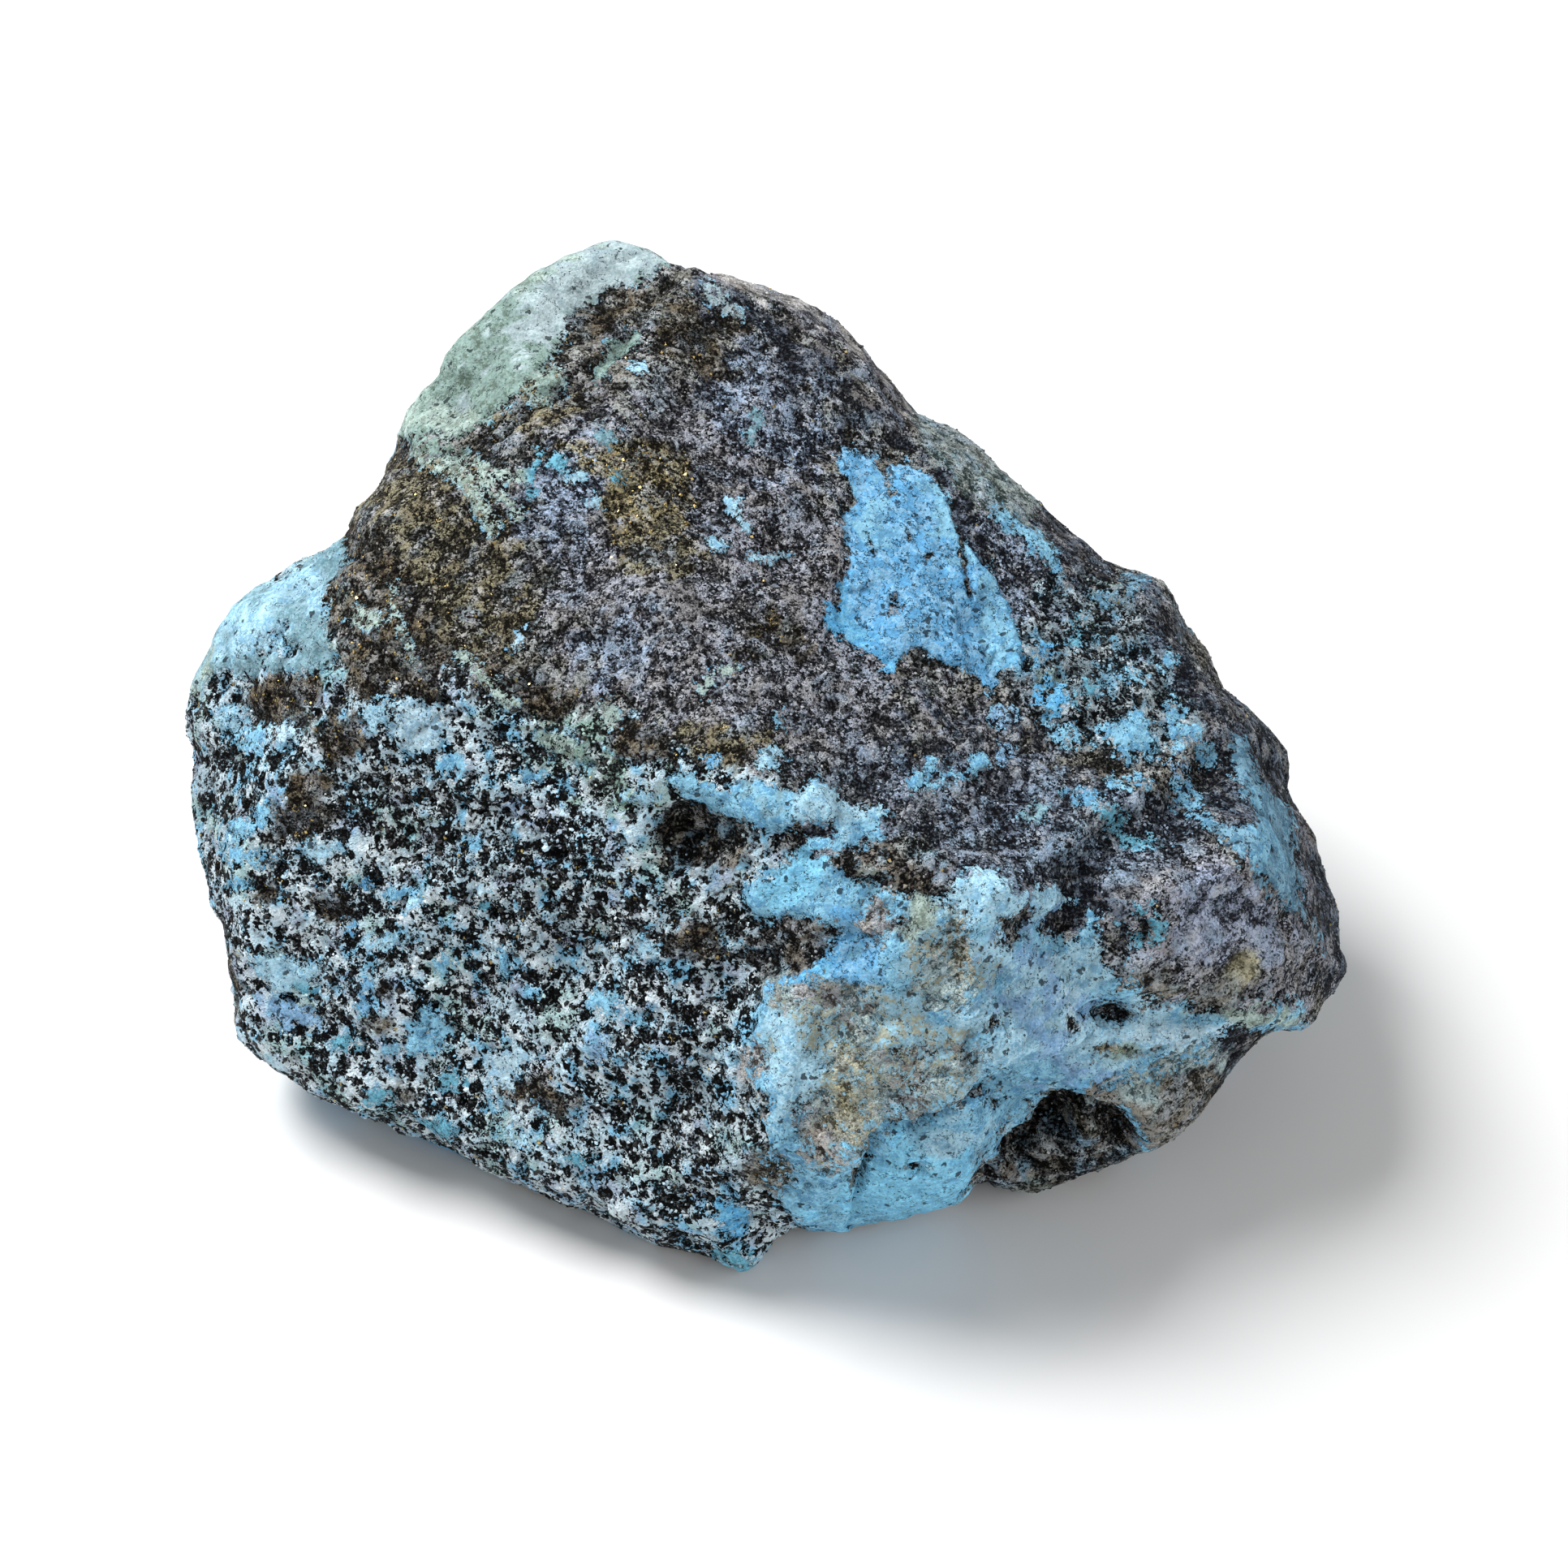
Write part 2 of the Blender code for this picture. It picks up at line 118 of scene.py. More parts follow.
def rock(pale, dark, coarse, share, gold=0.0):
    """A kind of rock: its pale and dark grains, how coarse they are, and the pale share."""
    return np.concatenate((paint(*pale), paint(*dark), [coarse, share, gold]))


GREY = rock((168, 172, 170), (12, 12, 11), 0.05, 0.42)
LILAC = rock((178, 182, 194), (16, 16, 19), 0.05, 0.49)
BLUE_GREY = rock((178, 196, 222), (14, 17, 24), 0.10, 0.49)
BROWN = rock((154, 149, 124), (16, 14, 9), 0.00, 0.42, 0.20)
GOLDEN = rock((172, 162, 126), (18, 15, 7), 0.10, 0.46, 1.0)
DARK_BROWN = rock((122, 112, 94), (12, 10, 7), 0.20, 0.32, 0.30)
SPECKLED = rock((194, 222, 236), (8, 9, 10), 1.00, 0.51, 0.05)
GREEN_SPECKLED = rock((152, 184, 174), (16, 20, 17), 0.85, 0.52, 0.05)
DARK_SPECKLED = rock((166, 188, 200), (8, 8, 7), 0.95, 0.38, 0.08)
FLANK = rock((138, 158, 168), (6, 10, 13), 0.75, 0.39)
SLATE = rock((108, 118, 134), (15, 17, 23), 0.10, 0.38)
# Charcoal rock; laid in the recess and along the shelf's lip it is partly painted shade.
CHARCOAL_AND_SHADE = rock((134, 128, 118), (12, 11, 10), 0.55, 0.36)
# Pale grey rock, brightened as painted highlight for the far rim lit from above.
ASH_AND_HIGHLIGHT = rock((206, 204, 202), (118, 115, 114), 0.00, 0.72)
BAND = rock((156, 172, 194), (15, 17, 23), 0.25, 0.43)
DUSKY = rock((138, 140, 150), (28, 28, 32), 0.05, 0.50)
MOSSY = rock((158, 170, 168), (44, 58, 56), 0.35, 0.66)
TAN = rock((196, 216, 214), (74, 92, 96), 0.20, 0.80)
OCHRE = rock((202, 196, 162), (72, 70, 54), 0.20, 0.79)
PINKISH = rock((204, 200, 194), (70, 66, 62), 0.20, 0.78)
PALE_LILAC = rock((182, 194, 220), (40, 42, 50), 0.15, 0.66)
MOLE = rock((156, 152, 140), (34, 32, 28), 0.25, 0.56)


def turquoise(colour, mottling, mottled, spots):
    """A kind of turquoise: two colours, the share of the second, and how speckled it is."""
    return np.concatenate((paint(*colour), paint(*mottling), [mottled, spots]))


SKY = turquoise((134, 188, 214), (98, 154, 190), 0.40, 0.70)
BRIGHT = turquoise((100, 166, 212), (138, 188, 221), 0.44, 1.40)
AQUA = turquoise((136, 204, 234), (118, 186, 222), 0.42, 0.75)
DEEP = turquoise((88, 162, 210), (118, 184, 218), 0.42, 0.50)
POWDER = turquoise((166, 206, 224), (130, 178, 206), 0.36, 0.60)
FROST = turquoise((186, 216, 230), (150, 190, 214), 0.40, 0.60)
TEAL = turquoise((108, 170, 192), (80, 138, 160), 0.40, 0.55)
SEA_GREEN = turquoise((132, 156, 150), (100, 118, 108), 0.36, 0.50)
LICHEN = turquoise((164, 184, 178), (128, 144, 134), 0.38, 0.80)
CHALK = turquoise((156, 174, 180), (138, 160, 168), 0.40, 0.45)
PORCELAIN = turquoise((170, 188, 192), (150, 170, 174), 0.40, 0.35)
EGGSHELL = turquoise((134, 168, 180), (106, 142, 154), 0.40, 0.60)
DUSTY = turquoise((120, 160, 182), (84, 124, 148), 0.45, 0.95)
PERIWINKLE = turquoise((147, 187, 220), (122, 164, 202), 0.42, 0.80)
OLIVE = turquoise((138, 158, 138), (138, 134, 100), 0.45, 0.85)
SAND = turquoise((142, 182, 200), (156, 160, 144), 0.44, 0.95)
PINK_TAN = turquoise((160, 164, 164), (156, 146, 136), 0.46, 0.90)


def blob(x, y, half_width, half_height, turn=0.0):
    """An ellipse, turned clockwise in degrees: how far inside it a point is."""
    cos = math.cos(math.radians(turn))
    sin = math.sin(math.radians(turn))
    least = min(half_width, half_height)

    def inside(points):
        across = points - (x, y)
        along = (across[:, 0] * cos + across[:, 1] * sin) / half_width
        over = (across[:, 1] * cos - across[:, 0] * sin) / half_height
        return (1.0 - np.hypot(along, over)) * least / PIXELS_PER_MM

    return inside


def edge_distance(points, start, end):
    """How far each point is from the straight line between two others."""
    run = np.subtract(end, start)
    along = np.clip((points - start) @ run / max(run @ run, 1.0), 0.0, 1.0)
    return np.linalg.norm(points - start - along[:, None] * run, axis=1)


def streak(width, *route):
    """A line of even width along a route."""

    def inside(points):
        away = [edge_distance(points, a, b) for a, b in zip(route, route[1:])]
        return (0.5 * width - np.min(away, axis=0)) / PIXELS_PER_MM

    return inside


def area(*corners):
    """A closed outline through these corners."""

    def inside(points):
        away = np.full(len(points), np.inf)
        odd = np.zeros(len(points), bool)
        for a, b in zip(corners, corners[1:] + corners[:1]):
            away = np.minimum(away, edge_distance(points, a, b))
            if a[1] != b[1]:
                crosses = (a[1] > points[:, 1]) != (b[1] > points[:, 1])
                at_x = a[0] + (points[:, 1] - a[1]) * (b[0] - a[0]) / (b[1] - a[1])
                odd ^= crosses & (points[:, 0] < at_x)
        return np.where(odd, away, -away) / PIXELS_PER_MM

    return inside


def hole(shape, ragged):
    """A hole in the patches, with how ragged its edge is."""
    return shape, None, ragged, 0.0


# The edge of the shelf's lower step, where a dark groove runs, painted dark as a crack and as the
# painted shadow under the step.
SHELF_LIP = ((1053, 1452), (1058, 1424), (1071, 1406), (1091, 1389), (1118, 1381), (1150, 1366),
             (1177, 1352), (1203, 1337), (1224, 1321))

# The rock of the broad side, laid over each other in turn: outline, how softly it ends, kind.
ROCK_ZONES = [
    # The upper face.
    (blob(760, 640, 330, 300), 4.0, GREY),
    (blob(860, 700, 200, 230, -30), 4.0, LILAC),
    (area((440, 560), (530, 560), (640, 640), (660, 790), (610, 830), (500, 800), (420, 700)), 1.2,
          BROWN),
    (blob(640, 455, 60, 45, -35), 1.5, DARK_BROWN),
    (blob(735, 400, 60, 35, -20), 1.0, DARK_BROWN),
    (blob(665, 500, 60, 30, -20), 0.8, BROWN),
    (blob(950, 500, 70, 90, -40), 2.0, BLUE_GREY),
    (blob(860, 410, 60, 45, 30), 1.2, DARK_BROWN),
    (area((690, 545), (740, 550), (800, 540), (850, 560), (858, 610), (845, 670), (800, 690),
          (745, 660), (735, 600)), 0.6, GOLDEN),
    (blob(810, 680, 50, 35), 1.0, BROWN),
    (blob(690, 620, 45, 60), 1.4, BLUE_GREY),
    (blob(1000, 760, 60, 130, -20), 2.5, LILAC),
    (blob(960, 800, 50, 40), 1.2, DARK_BROWN),
    (blob(762, 806, 46, 44), 1.6, BLUE_GREY),
    (blob(985, 880, 190, 70), 2.0, LILAC),
    # The far rim, the right flank and the band under them.
    # Along the far rim: a dark band under the ridge, partly painted shade of the slope that faces away,
    # and a pale band beyond it, partly painted highlight of the surface lit from above.
    (streak(34, (860, 340), (940, 400), (1040, 480), (1120, 540), (1180, 590)), 1.4, SLATE),
    (streak(44, (850, 325), (960, 350), (1050, 420), (1110, 490), (1200, 520)), 1.0, DUSKY),
    (streak(46, (900, 330), (1010, 360), (1085, 425), (1135, 482), (1200, 520)), 0.6, ASH_AND_HIGHLIGHT),
    (area((1130, 480), (1240, 520), (1320, 620), (1305, 690), (1250, 640), (1205, 640), (1160, 595),
          (1130, 540)), 0.6, MOSSY),
    (streak(24, (1165, 585), (1185, 640), (1215, 690), (1245, 740)), 0.5, SLATE),
    (area((1237, 715), (1290, 705), (1310, 750), (1300, 800), (1262, 810)), 0.5, CHARCOAL_AND_SHADE),
    (area((1200, 600), (1300, 690), (1300, 800), (1255, 840), (1235, 720), (1190, 650)), 1.0,
          BLUE_GREY),
    (area((1290, 600), (1360, 680), (1370, 720), (1310, 710), (1275, 640)), 0.6, SLATE),
    (area((1290, 700), (1400, 720), (1470, 790), (1490, 900), (1400, 930), (1260, 880), (1250, 780)),
          1.0, FLANK),
    (area((1400, 700), (1445, 750), (1500, 860), (1470, 860), (1410, 770)), 0.7, SLATE),
    (streak(44, (1470, 850), (1530, 890), (1580, 950), (1590, 1000)), 1.2, SLATE),
    (area((1010, 940), (1200, 900), (1330, 950), (1480, 1000), (1520, 1110), (1420, 1110),
          (1300, 1120), (1180, 1080), (1000, 1050)), 1.2, BAND),
    (blob(1200, 900, 70, 30), 1.5, SLATE),
    # The right lump, the right end, and what lies under the lump.
    (blob(1330, 1120, 70, 40), 1.5, SLATE),
    (area((1400, 1090), (1500, 1040), (1590, 1120), (1650, 1190), (1600, 1260), (1440, 1250),
          (1400, 1180)), 1.0, LILAC),
    (area((1440, 1110), (1500, 1070), (1560, 1100), (1590, 1150), (1560, 1190), (1480, 1190),
          (1445, 1170)), 0.8, PALE_LILAC),
    (blob(1528, 1192, 18, 26), 0.5, OCHRE),
    (blob(1500, 1225, 34, 20), 0.7, MOLE),
    (blob(1400, 1215, 44, 26), 0.8, MOLE),
    (area((1560, 960), (1600, 990), (1660, 1140), (1640, 1210), (1600, 1140), (1590, 1020)), 0.7,
          DUSKY),
    (streak(34, (1625, 1070), (1650, 1160), (1640, 1220)), 0.7, SLATE),
    (area((1484, 872), (1535, 890), (1580, 950), (1600, 1010), (1560, 1040), (1500, 1040),
          (1482, 1000)), 0.5, SLATE),
    (area((1480, 1270), (1560, 1260), (1520, 1340), (1440, 1430), (1400, 1430), (1450, 1350)), 0.8,
          SLATE),
    (area((1330, 1320), (1500, 1300), (1500, 1370), (1420, 1430), (1380, 1370)), 0.6, CHARCOAL_AND_SHADE),
    (area((1300, 1345), (1390, 1330), (1490, 1320), (1490, 1390), (1420, 1420), (1360, 1365)), 0.6,
          MOLE),
    (area((1350, 1310), (1400, 1300), (1500, 1270), (1510, 1310), (1420, 1350), (1350, 1350)), 0.6,
          TAN),
    (blob(1390, 1308, 30, 12), 0.5, OCHRE),
    # The coarse speckled rock of the lower left, the brown above it, and dark spots.
    (area((230, 690), (420, 640), (430, 760), (560, 830), (660, 880), (760, 895), (850, 925),
          (960, 975), (980, 1100), (940, 1200), (930, 1350), (960, 1450), (1010, 1520), (930, 1600),
          (840, 1560), (560, 1450), (320, 1350), (210, 1050)), 1.0, SPECKLED),
    (area((396, 640), (480, 640), (560, 830), (540, 880), (440, 850), (394, 740)), 0.8, DARK_BROWN),
    (streak(36, (590, 820), (650, 860), (700, 880)), 1.0, DARK_BROWN),
    (area((640, 880), (760, 890), (800, 960), (760, 1000), (700, 960)), 1.5, GREEN_SPECKLED),
    (blob(790, 915, 45, 28), 0.6, DARK_BROWN),
    (blob(905, 920, 60, 28, 10), 0.8, BROWN),
    (blob(344, 868, 44, 42, 30), 0.5, DARK_BROWN),
    (blob(382, 848, 22, 22), 0.5, DARK_BROWN),
    (blob(424, 912, 28, 32), 0.6, DARK_BROWN),
    (blob(372, 1000, 40, 45, 20), 0.8, DARK_BROWN),
    (blob(265, 960, 40, 70, -10), 1.0, DARK_SPECKLED),
    (blob(520, 1000, 90, 55, 20), 1.5, DARK_SPECKLED),
    (blob(690, 1110, 110, 60, 10), 1.6, DARK_SPECKLED),
    (blob(870, 1030, 60, 52), 0.6, CHARCOAL_AND_SHADE),
    (blob(860, 1130, 60, 40), 1.2, DARK_SPECKLED),
    (blob(330, 1100, 22, 18), 0.4, DARK_BROWN),
    (blob(409, 1118, 22, 15, 10), 0.3, DARK_BROWN),
    (blob(475, 1221, 15, 12), 0.2, DARK_BROWN),
    (blob(467, 1265, 18, 11), 0.3, DARK_BROWN),
    (blob(498, 1350, 18, 12, 20), 0.4, DARK_BROWN),
    (blob(670, 1350, 40, 22, 20), 0.8, DARK_BROWN),
    (blob(860, 1160, 34, 22), 0.8, DARK_BROWN),
    (blob(880, 1360, 60, 120), 2.5, DARK_SPECKLED),
    # Along the bottom rim, which turns down away from the light, the dark band is partly painted shade.
    (streak(46, (225, 930), (262, 1120), (290, 1270), (420, 1370), (600, 1440), (760, 1510),
            (880, 1555)), 1.2, DARK_SPECKLED),
    (streak(30, (240, 760), (225, 850), (222, 960), (240, 1040)), 0.8, DARK_SPECKLED),
    (streak(26, (262, 1140), (280, 1240), (330, 1330)), 0.8, DARK_BROWN),
    # The foot of the pale corner.
    (streak(26, (514, 486), (541, 452), (577, 410), (622, 366), (690, 322)), 0.3, MOLE),
    # The pockets, the recess, and the tan field on the shelf.
    (area((1011, 1060), (1060, 1028), (1140, 1040), (1179, 1075), (1130, 1102), (1060, 1095)), 0.4,
          CHARCOAL_AND_SHADE),
    (area((912, 1160), (950, 1140), (1030, 1138), (1032, 1165), (985, 1205), (925, 1215)), 0.4,
          CHARCOAL_AND_SHADE),
    # The recess under the turquoise rim: dark rock that is partly painted shade.
    (area((1207, 1446), (1231, 1409), (1247, 1384), (1290, 1355), (1325, 1345), (1389, 1374),
          (1404, 1414), (1380, 1440), (1280, 1480), (1215, 1490)), 0.3, CHARCOAL_AND_SHADE),
    (area((940, 1205), (1090, 1205), (1225, 1290), (1180, 1345), (1070, 1400), (1045, 1450),
          (970, 1440), (1000, 1370), (940, 1290)), 0.5, TAN),
    (blob(1080, 1138, 30, 36), 0.5, PINKISH),
    (blob(1170, 1190, 62, 62), 0.6, TAN),
    (blob(1190, 1180, 30, 40), 0.8, OCHRE),
    (blob(1010, 1240, 50, 26), 0.8, PINKISH),
    (blob(1048, 1320, 34, 40), 1.0, OCHRE),
    (blob(1052, 1380, 40, 34, -20), 0.8, OCHRE),
    (blob(1140, 1290, 60, 18, 10), 0.8, MOLE),
    (blob(1120, 1345, 26, 36, 20), 0.8, MOLE),
    (blob(1008, 1415, 30, 26), 0.7, PINKISH),
    (blob(932, 1305, 26, 28), 0.5, PINKISH),
    # A dark streak along the shelf's lip: partly a crack, partly painted shadow under the step.
    (streak(12, *SHELF_LIP), 0.1, CHARCOAL_AND_SHADE),
    (blob(955, 1445, 34, 26, 20), 0.5, MOLE),
]

# Patches of turquoise on the broad side, in turn: outline, kind, how ragged the edge is, and
# how far the patch stands proud. A hole cuts into the patches before it.
PATCHES = [
    # The pale corner and its stray streaks.
    (area((490, 540), (565, 540), (600, 522), (640, 492), (665, 465), (692, 430), (700, 402),
          (718, 376), (752, 362), (800, 350), (826, 338), (800, 315), (740, 285), (640, 310),
          (520, 430), (480, 500)), SEA_GREEN, 0.25, 0.30),
    hole(streak(13, (514, 486), (541, 452), (577, 410), (622, 366), (668, 330)), 0.5),
    (streak(17, (512, 560), (556, 580), (588, 612), (606, 648)), LICHEN, 0.9, 0.10),
    (streak(13, (552, 552), (600, 578), (648, 590)), LICHEN, 0.9, 0.10),
    (streak(12, (560, 570), (610, 600), (640, 632)), LICHEN, 1.0, 0.10),
    (blob(540, 552, 26, 9, 10), SEA_GREEN, 0.9, 0.10),
    (blob(675, 478, 24, 15, -35), LICHEN, 0.5, 0.10),
    # Small patches of the upper face.
    (streak(17, (782, 415), (757, 432), (741, 464)), SEA_GREEN, 0.25, 0.12),
    (blob(789, 453, 8, 9), POWDER, 0.2, 0.10),
    (blob(748, 540, 14, 11), EGGSHELL, 0.2, 0.15),
    (streak(12, (931, 513), (928, 530), (930, 545)), EGGSHELL, 0.3, 0.12),
    (streak(13, (872, 360), (890, 375), (908, 388)), CHALK, 0.7, 0.05),
    (streak(8, (664, 560), (658, 585), (654, 614)), TEAL, 0.2, 0.10),
    (blob(690, 574, 12, 9), TEAL, 0.4, 0.05),
    (blob(715, 588, 10, 8), POWDER, 0.4, 0.05),
    (blob(733, 621, 12, 9), POWDER, 0.4, 0.05),
    (blob(761, 593, 7, 6), TEAL, 0.2, 0.05),
    (streak(14, (900, 616), (911, 634), (921, 652)), POWDER, 0.4, 0.12),
    (blob(884, 671, 12, 11), POWDER, 0.4, 0.10),
    (streak(9, (930, 685), (950, 690), (966, 684)), POWDER, 0.4, 0.05),
    (blob(641, 792, 7, 11, 20), FROST, 0.2, 0.12),
    (streak(14, (575, 812), (600, 840), (634, 870)), LICHEN, 0.5, 0.15),
    (streak(7, (484, 724), (492, 770), (519, 826)), LICHEN, 0.3, 0.10),
    (blob(455, 764, 17, 12, 20), LICHEN, 0.5, 0.10),
    (streak(10, (866, 850), (880, 838), (904, 822)), LICHEN, 0.4, 0.05),
    (blob(750, 880, 10, 14), LICHEN, 0.4, 0.05),
    (blob(779, 881, 6, 6), FROST, 0.2, 0.08),
    (blob(948, 938, 20, 12, -15), POWDER, 0.5, 0.12),
    (blob(963, 889, 6, 7), SKY, 0.3, 0.05),
    (blob(876, 943, 8, 7), BRIGHT, 0.4, 0.05),
    # The main patch.
    (area((1038, 548), (1057, 560), (1077, 567), (1086, 582), (1095, 608), (1100, 618), (1103, 606),
          (1094, 582), (1098, 572), (1113, 570), (1143, 583), (1160, 603), (1173, 643), (1183, 673),
          (1196, 678), (1213, 700), (1227, 713), (1237, 727), (1247, 753), (1255, 787), (1258, 820),
          (1233, 829), (1223, 852), (1211, 829), (1187, 827), (1160, 816), (1146, 814), (1138, 806),
          (1126, 800), (1114, 808), (1098, 834), (1067, 806), (1040, 789), (1020, 768), (1013, 737),
          (1034, 750), (1035, 727), (1044, 707), (1050, 680), (1038, 662), (1040, 637), (1053, 620),
          (1050, 597), (1034, 572)), BRIGHT, 0.16, 0.12),
    hole(streak(4, (1181, 672), (1190, 704), (1200, 732)), 0.05),
    hole(blob(1117, 664, 3, 6, 10), 0.05),
    hole(blob(1144, 688, 8, 3, -35), 0.05),
    hole(blob(1103, 750, 8, 9), 0.7),
    hole(blob(1075, 672, 3, 9, -20), 0.1),
    # The right flank and the band.
    (streak(20, (1234, 632), (1262, 650), (1284, 672), (1300, 690)), SKY, 0.5, 0.15),
    (blob(1396, 718, 10, 12, -20), DUSTY, 0.5, 0.15),
    (blob(1366, 732, 12, 9), DUSTY, 0.7, 0.10),
    (blob(1283, 806, 13, 9, -30), DEEP, 0.5, 0.05),
    (blob(1300, 868, 10, 16, 20), DEEP, 0.5, 0.05),
    (blob(1240, 880, 12, 10), PERIWINKLE, 0.7, 0.05),
    (blob(1440, 812, 8, 12), SKY, 0.5, 0.05),
    (area((1352, 898), (1380, 888), (1400, 876), (1418, 884), (1428, 926), (1403, 932), (1370, 924)),
          SKY, 0.5, 0.15),
    (blob(1322, 904, 20, 10, 20), SKY, 0.9, 0.05),
    (blob(1338, 858, 9, 16, 30), TEAL, 1.1, 0.05),
    (blob(1396, 838, 14, 8), SKY, 1.1, 0.05),
    (blob(1448, 872, 10, 13), SKY, 1.0, 0.05),
    (blob(1326, 776, 8, 18, 20), TEAL, 1.2, 0.05),
    (blob(1283, 852, 8, 14, 20), DEEP, 0.9, 0.05),
    (blob(1463, 906, 20, 13, 10), SKY, 0.7, 0.10),
    (blob(1489, 928, 11, 13), SKY, 0.4, 0.10),
    (blob(1452, 946, 11, 9), PERIWINKLE, 0.9, 0.05),
    (streak(17, (1128, 972), (1138, 955), (1150, 945)), SKY, 0.4, 0.15),
    (blob(1207, 941, 11, 10), SKY, 0.3, 0.15),
    (blob(1175, 962, 18, 6, -15), SKY, 0.5, 0.08),
    (blob(1240, 930, 10, 14), PERIWINKLE, 0.6, 0.05),
    (blob(1274, 1001, 15, 14), EGGSHELL, 0.4, 0.10),
    hole(blob(1274, 1000, 6, 5), 0.3),
    (blob(1369, 1008, 17, 13), TEAL, 0.9, 0.05),
    (blob(1336, 984, 20, 8, 20), SKY, 1.1, 0.05),
    (blob(1400, 1034, 18, 7, 10), TEAL, 1.2, 0.05),
    (blob(1392, 962, 22, 7, 10), SKY, 1.1, 0.05),
    (blob(1464, 985, 14, 20), SKY, 0.8, 0.05),
    # The right end.
    (area((1515, 911), (1531, 911), (1546, 939), (1549, 962), (1589, 993), (1592, 1039), (1597, 1102),
          (1627, 1170), (1579, 1130), (1546, 1090), (1521, 1056), (1498, 1036), (1485, 1013),
          (1492, 1003), (1530, 985)), DUSTY, 0.4, 0.15),
    hole(blob(1523, 1002, 30, 27), 0.2),
    # The arm over the pocket, and the shelf with its holes.
    (area((820, 955), (845, 950), (882, 970), (930, 968), (985, 976), (1008, 960), (1030, 962),
          (1040, 985), (1095, 1000), (1092, 1030), (1060, 1036), (1010, 1050), (990, 1080),
          (960, 1070), (1000, 1035), (950, 1030), (920, 1010), (880, 1005), (850, 985)), SKY, 0.35,
          0.30),
    hole(blob(1000, 1026, 32, 11, -8), 0.3),
    (area((985, 1060), (1020, 1050), (1040, 1090), (1100, 1100), (1170, 1112), (1182, 1085),
          (1200, 1074), (1235, 1080), (1262, 1105), (1300, 1090), (1330, 1120), (1380, 1140),
          (1385, 1200), (1420, 1230), (1500, 1250), (1600, 1235), (1600, 1262), (1520, 1270),
          (1480, 1300), (1420, 1330), (1340, 1346), (1300, 1348), (1285, 1355), (1262, 1375),
          (1240, 1385), (1225, 1410), (1200, 1450), (1185, 1490), (1100, 1520), (1010, 1530),
          (960, 1480), (945, 1420), (955, 1360), (925, 1330), (930, 1260), (945, 1215), (1000, 1198),
          (1032, 1162), (1030, 1142), (985, 1132), (935, 1138), (915, 1110), (930, 1085), (960, 1075)),
          SKY, 0.45, 0.30),
    (area((980, 1060), (1010, 1055), (1000, 1100), (960, 1120), (940, 1100)), AQUA, 0.5, 0.15),
    hole(blob(1080, 1138, 18, 24), 0.9),
    hole(blob(1168, 1210, 30, 32), 2.0),
    hole(blob(1178, 1168, 16, 20), 1.6),
    hole(blob(1178, 1138, 9, 14), 0.6),
    hole(blob(1114, 1148, 6, 8), 0.5),
    hole(area((958, 1220), (1000, 1208), (1042, 1212), (1084, 1238), (1072, 1254), (1020, 1252),
              (966, 1250)), 1.5),
    hole(area((1026, 1286), (1066, 1290), (1082, 1304), (1120, 1292), (1158, 1298), (1196, 1286),
              (1208, 1298), (1190, 1318), (1150, 1340), (1138, 1370), (1110, 1378), (1085, 1385),
              (1062, 1400), (1040, 1425), (1020, 1440), (990, 1425), (982, 1388), (990, 1352),
              (1018, 1342)), 1.8),
    hole(blob(1056, 1268, 20, 12), 1.8),
    (streak(9, (1030, 1262), (1052, 1290), (1060, 1330)), SKY, 1.2, 0.05),
    (streak(9, (1090, 1250), (1075, 1300), (1080, 1350)), SKY, 1.3, 0.05),
    (streak(8, (1110, 1300), (1122, 1330)), POWDER, 1.2, 0.05),
    (blob(1162, 1300, 18, 8), POWDER, 1.2, 0.05),
    (blob(1090, 1358, 9, 9), SKY, 0.4, 0.10),
    hole(blob(932, 1305, 16, 18), 0.8),
    hole(area((1370, 1334), (1430, 1316), (1500, 1290), (1510, 1300), (1420, 1345), (1370, 1345)), 1.4),
    hole(streak(4, (1345, 1298), (1372, 1294), (1400, 1300), (1432, 1297)), 0.4),
    hole(blob(952, 1446, 24, 16, 20), 0.8),
    # The turquoise opens along the shelf's lip to show the painted shadow under the step.
    hole(streak(9, *SHELF_LIP), 0.25),
    hole(blob(1130, 1437, 7, 5), 0.2),
    hole(streak(3, (1190, 1346), (1212, 1349), (1236, 1358)), 0.15),
    hole(area((1228, 1160), (1238, 1135), (1262, 1118), (1275, 1122), (1250, 1150), (1240, 1166)), 0.3),
    hole(area((1276, 1150), (1300, 1120), (1337, 1108), (1345, 1140), (1320, 1158)), 0.4),
    hole(area((1340, 1130), (1390, 1130), (1400, 1200), (1380, 1215), (1362, 1190)), 0.5),
    hole(blob(1374, 1251, 21, 11), 0.3),
    hole(blob(1428, 1228, 18, 12), 0.5),
    hole(blob(1318, 1262, 7, 10), 0.2),
    hole(blob(1222, 1262, 7, 5), 0.2),
    hole(area((1400, 1120), (1440, 1090), (1530, 1060), (1620, 1150), (1640, 1200), (1600, 1236),
              (1500, 1248), (1440, 1235), (1420, 1190)), 0.5),
    # Round the shelf and the recess, and at the lowest corner.
    (blob(1412, 1143, 19, 23), TEAL, 0.5, 0.12),
    hole(blob(1409, 1144, 9, 13), 0.4),
    (streak(9, (1386, 1368), (1399, 1388), (1408, 1401), (1411, 1416)), SKY, 0.15, 0.10),
    (blob(1332, 1346, 8, 6), DEEP, 0.2, 0.05),
    (area((880, 1480), (905, 1478), (928, 1500), (910, 1520), (885, 1512)), DEEP, 0.3, 0.15),
    (blob(905, 1545, 22, 10, 10), TEAL, 0.4, 0.10),
    # The left lobe.
    (area((235, 860), (262, 790), (300, 745), (340, 712), (375, 690), (400, 668), (422, 650),
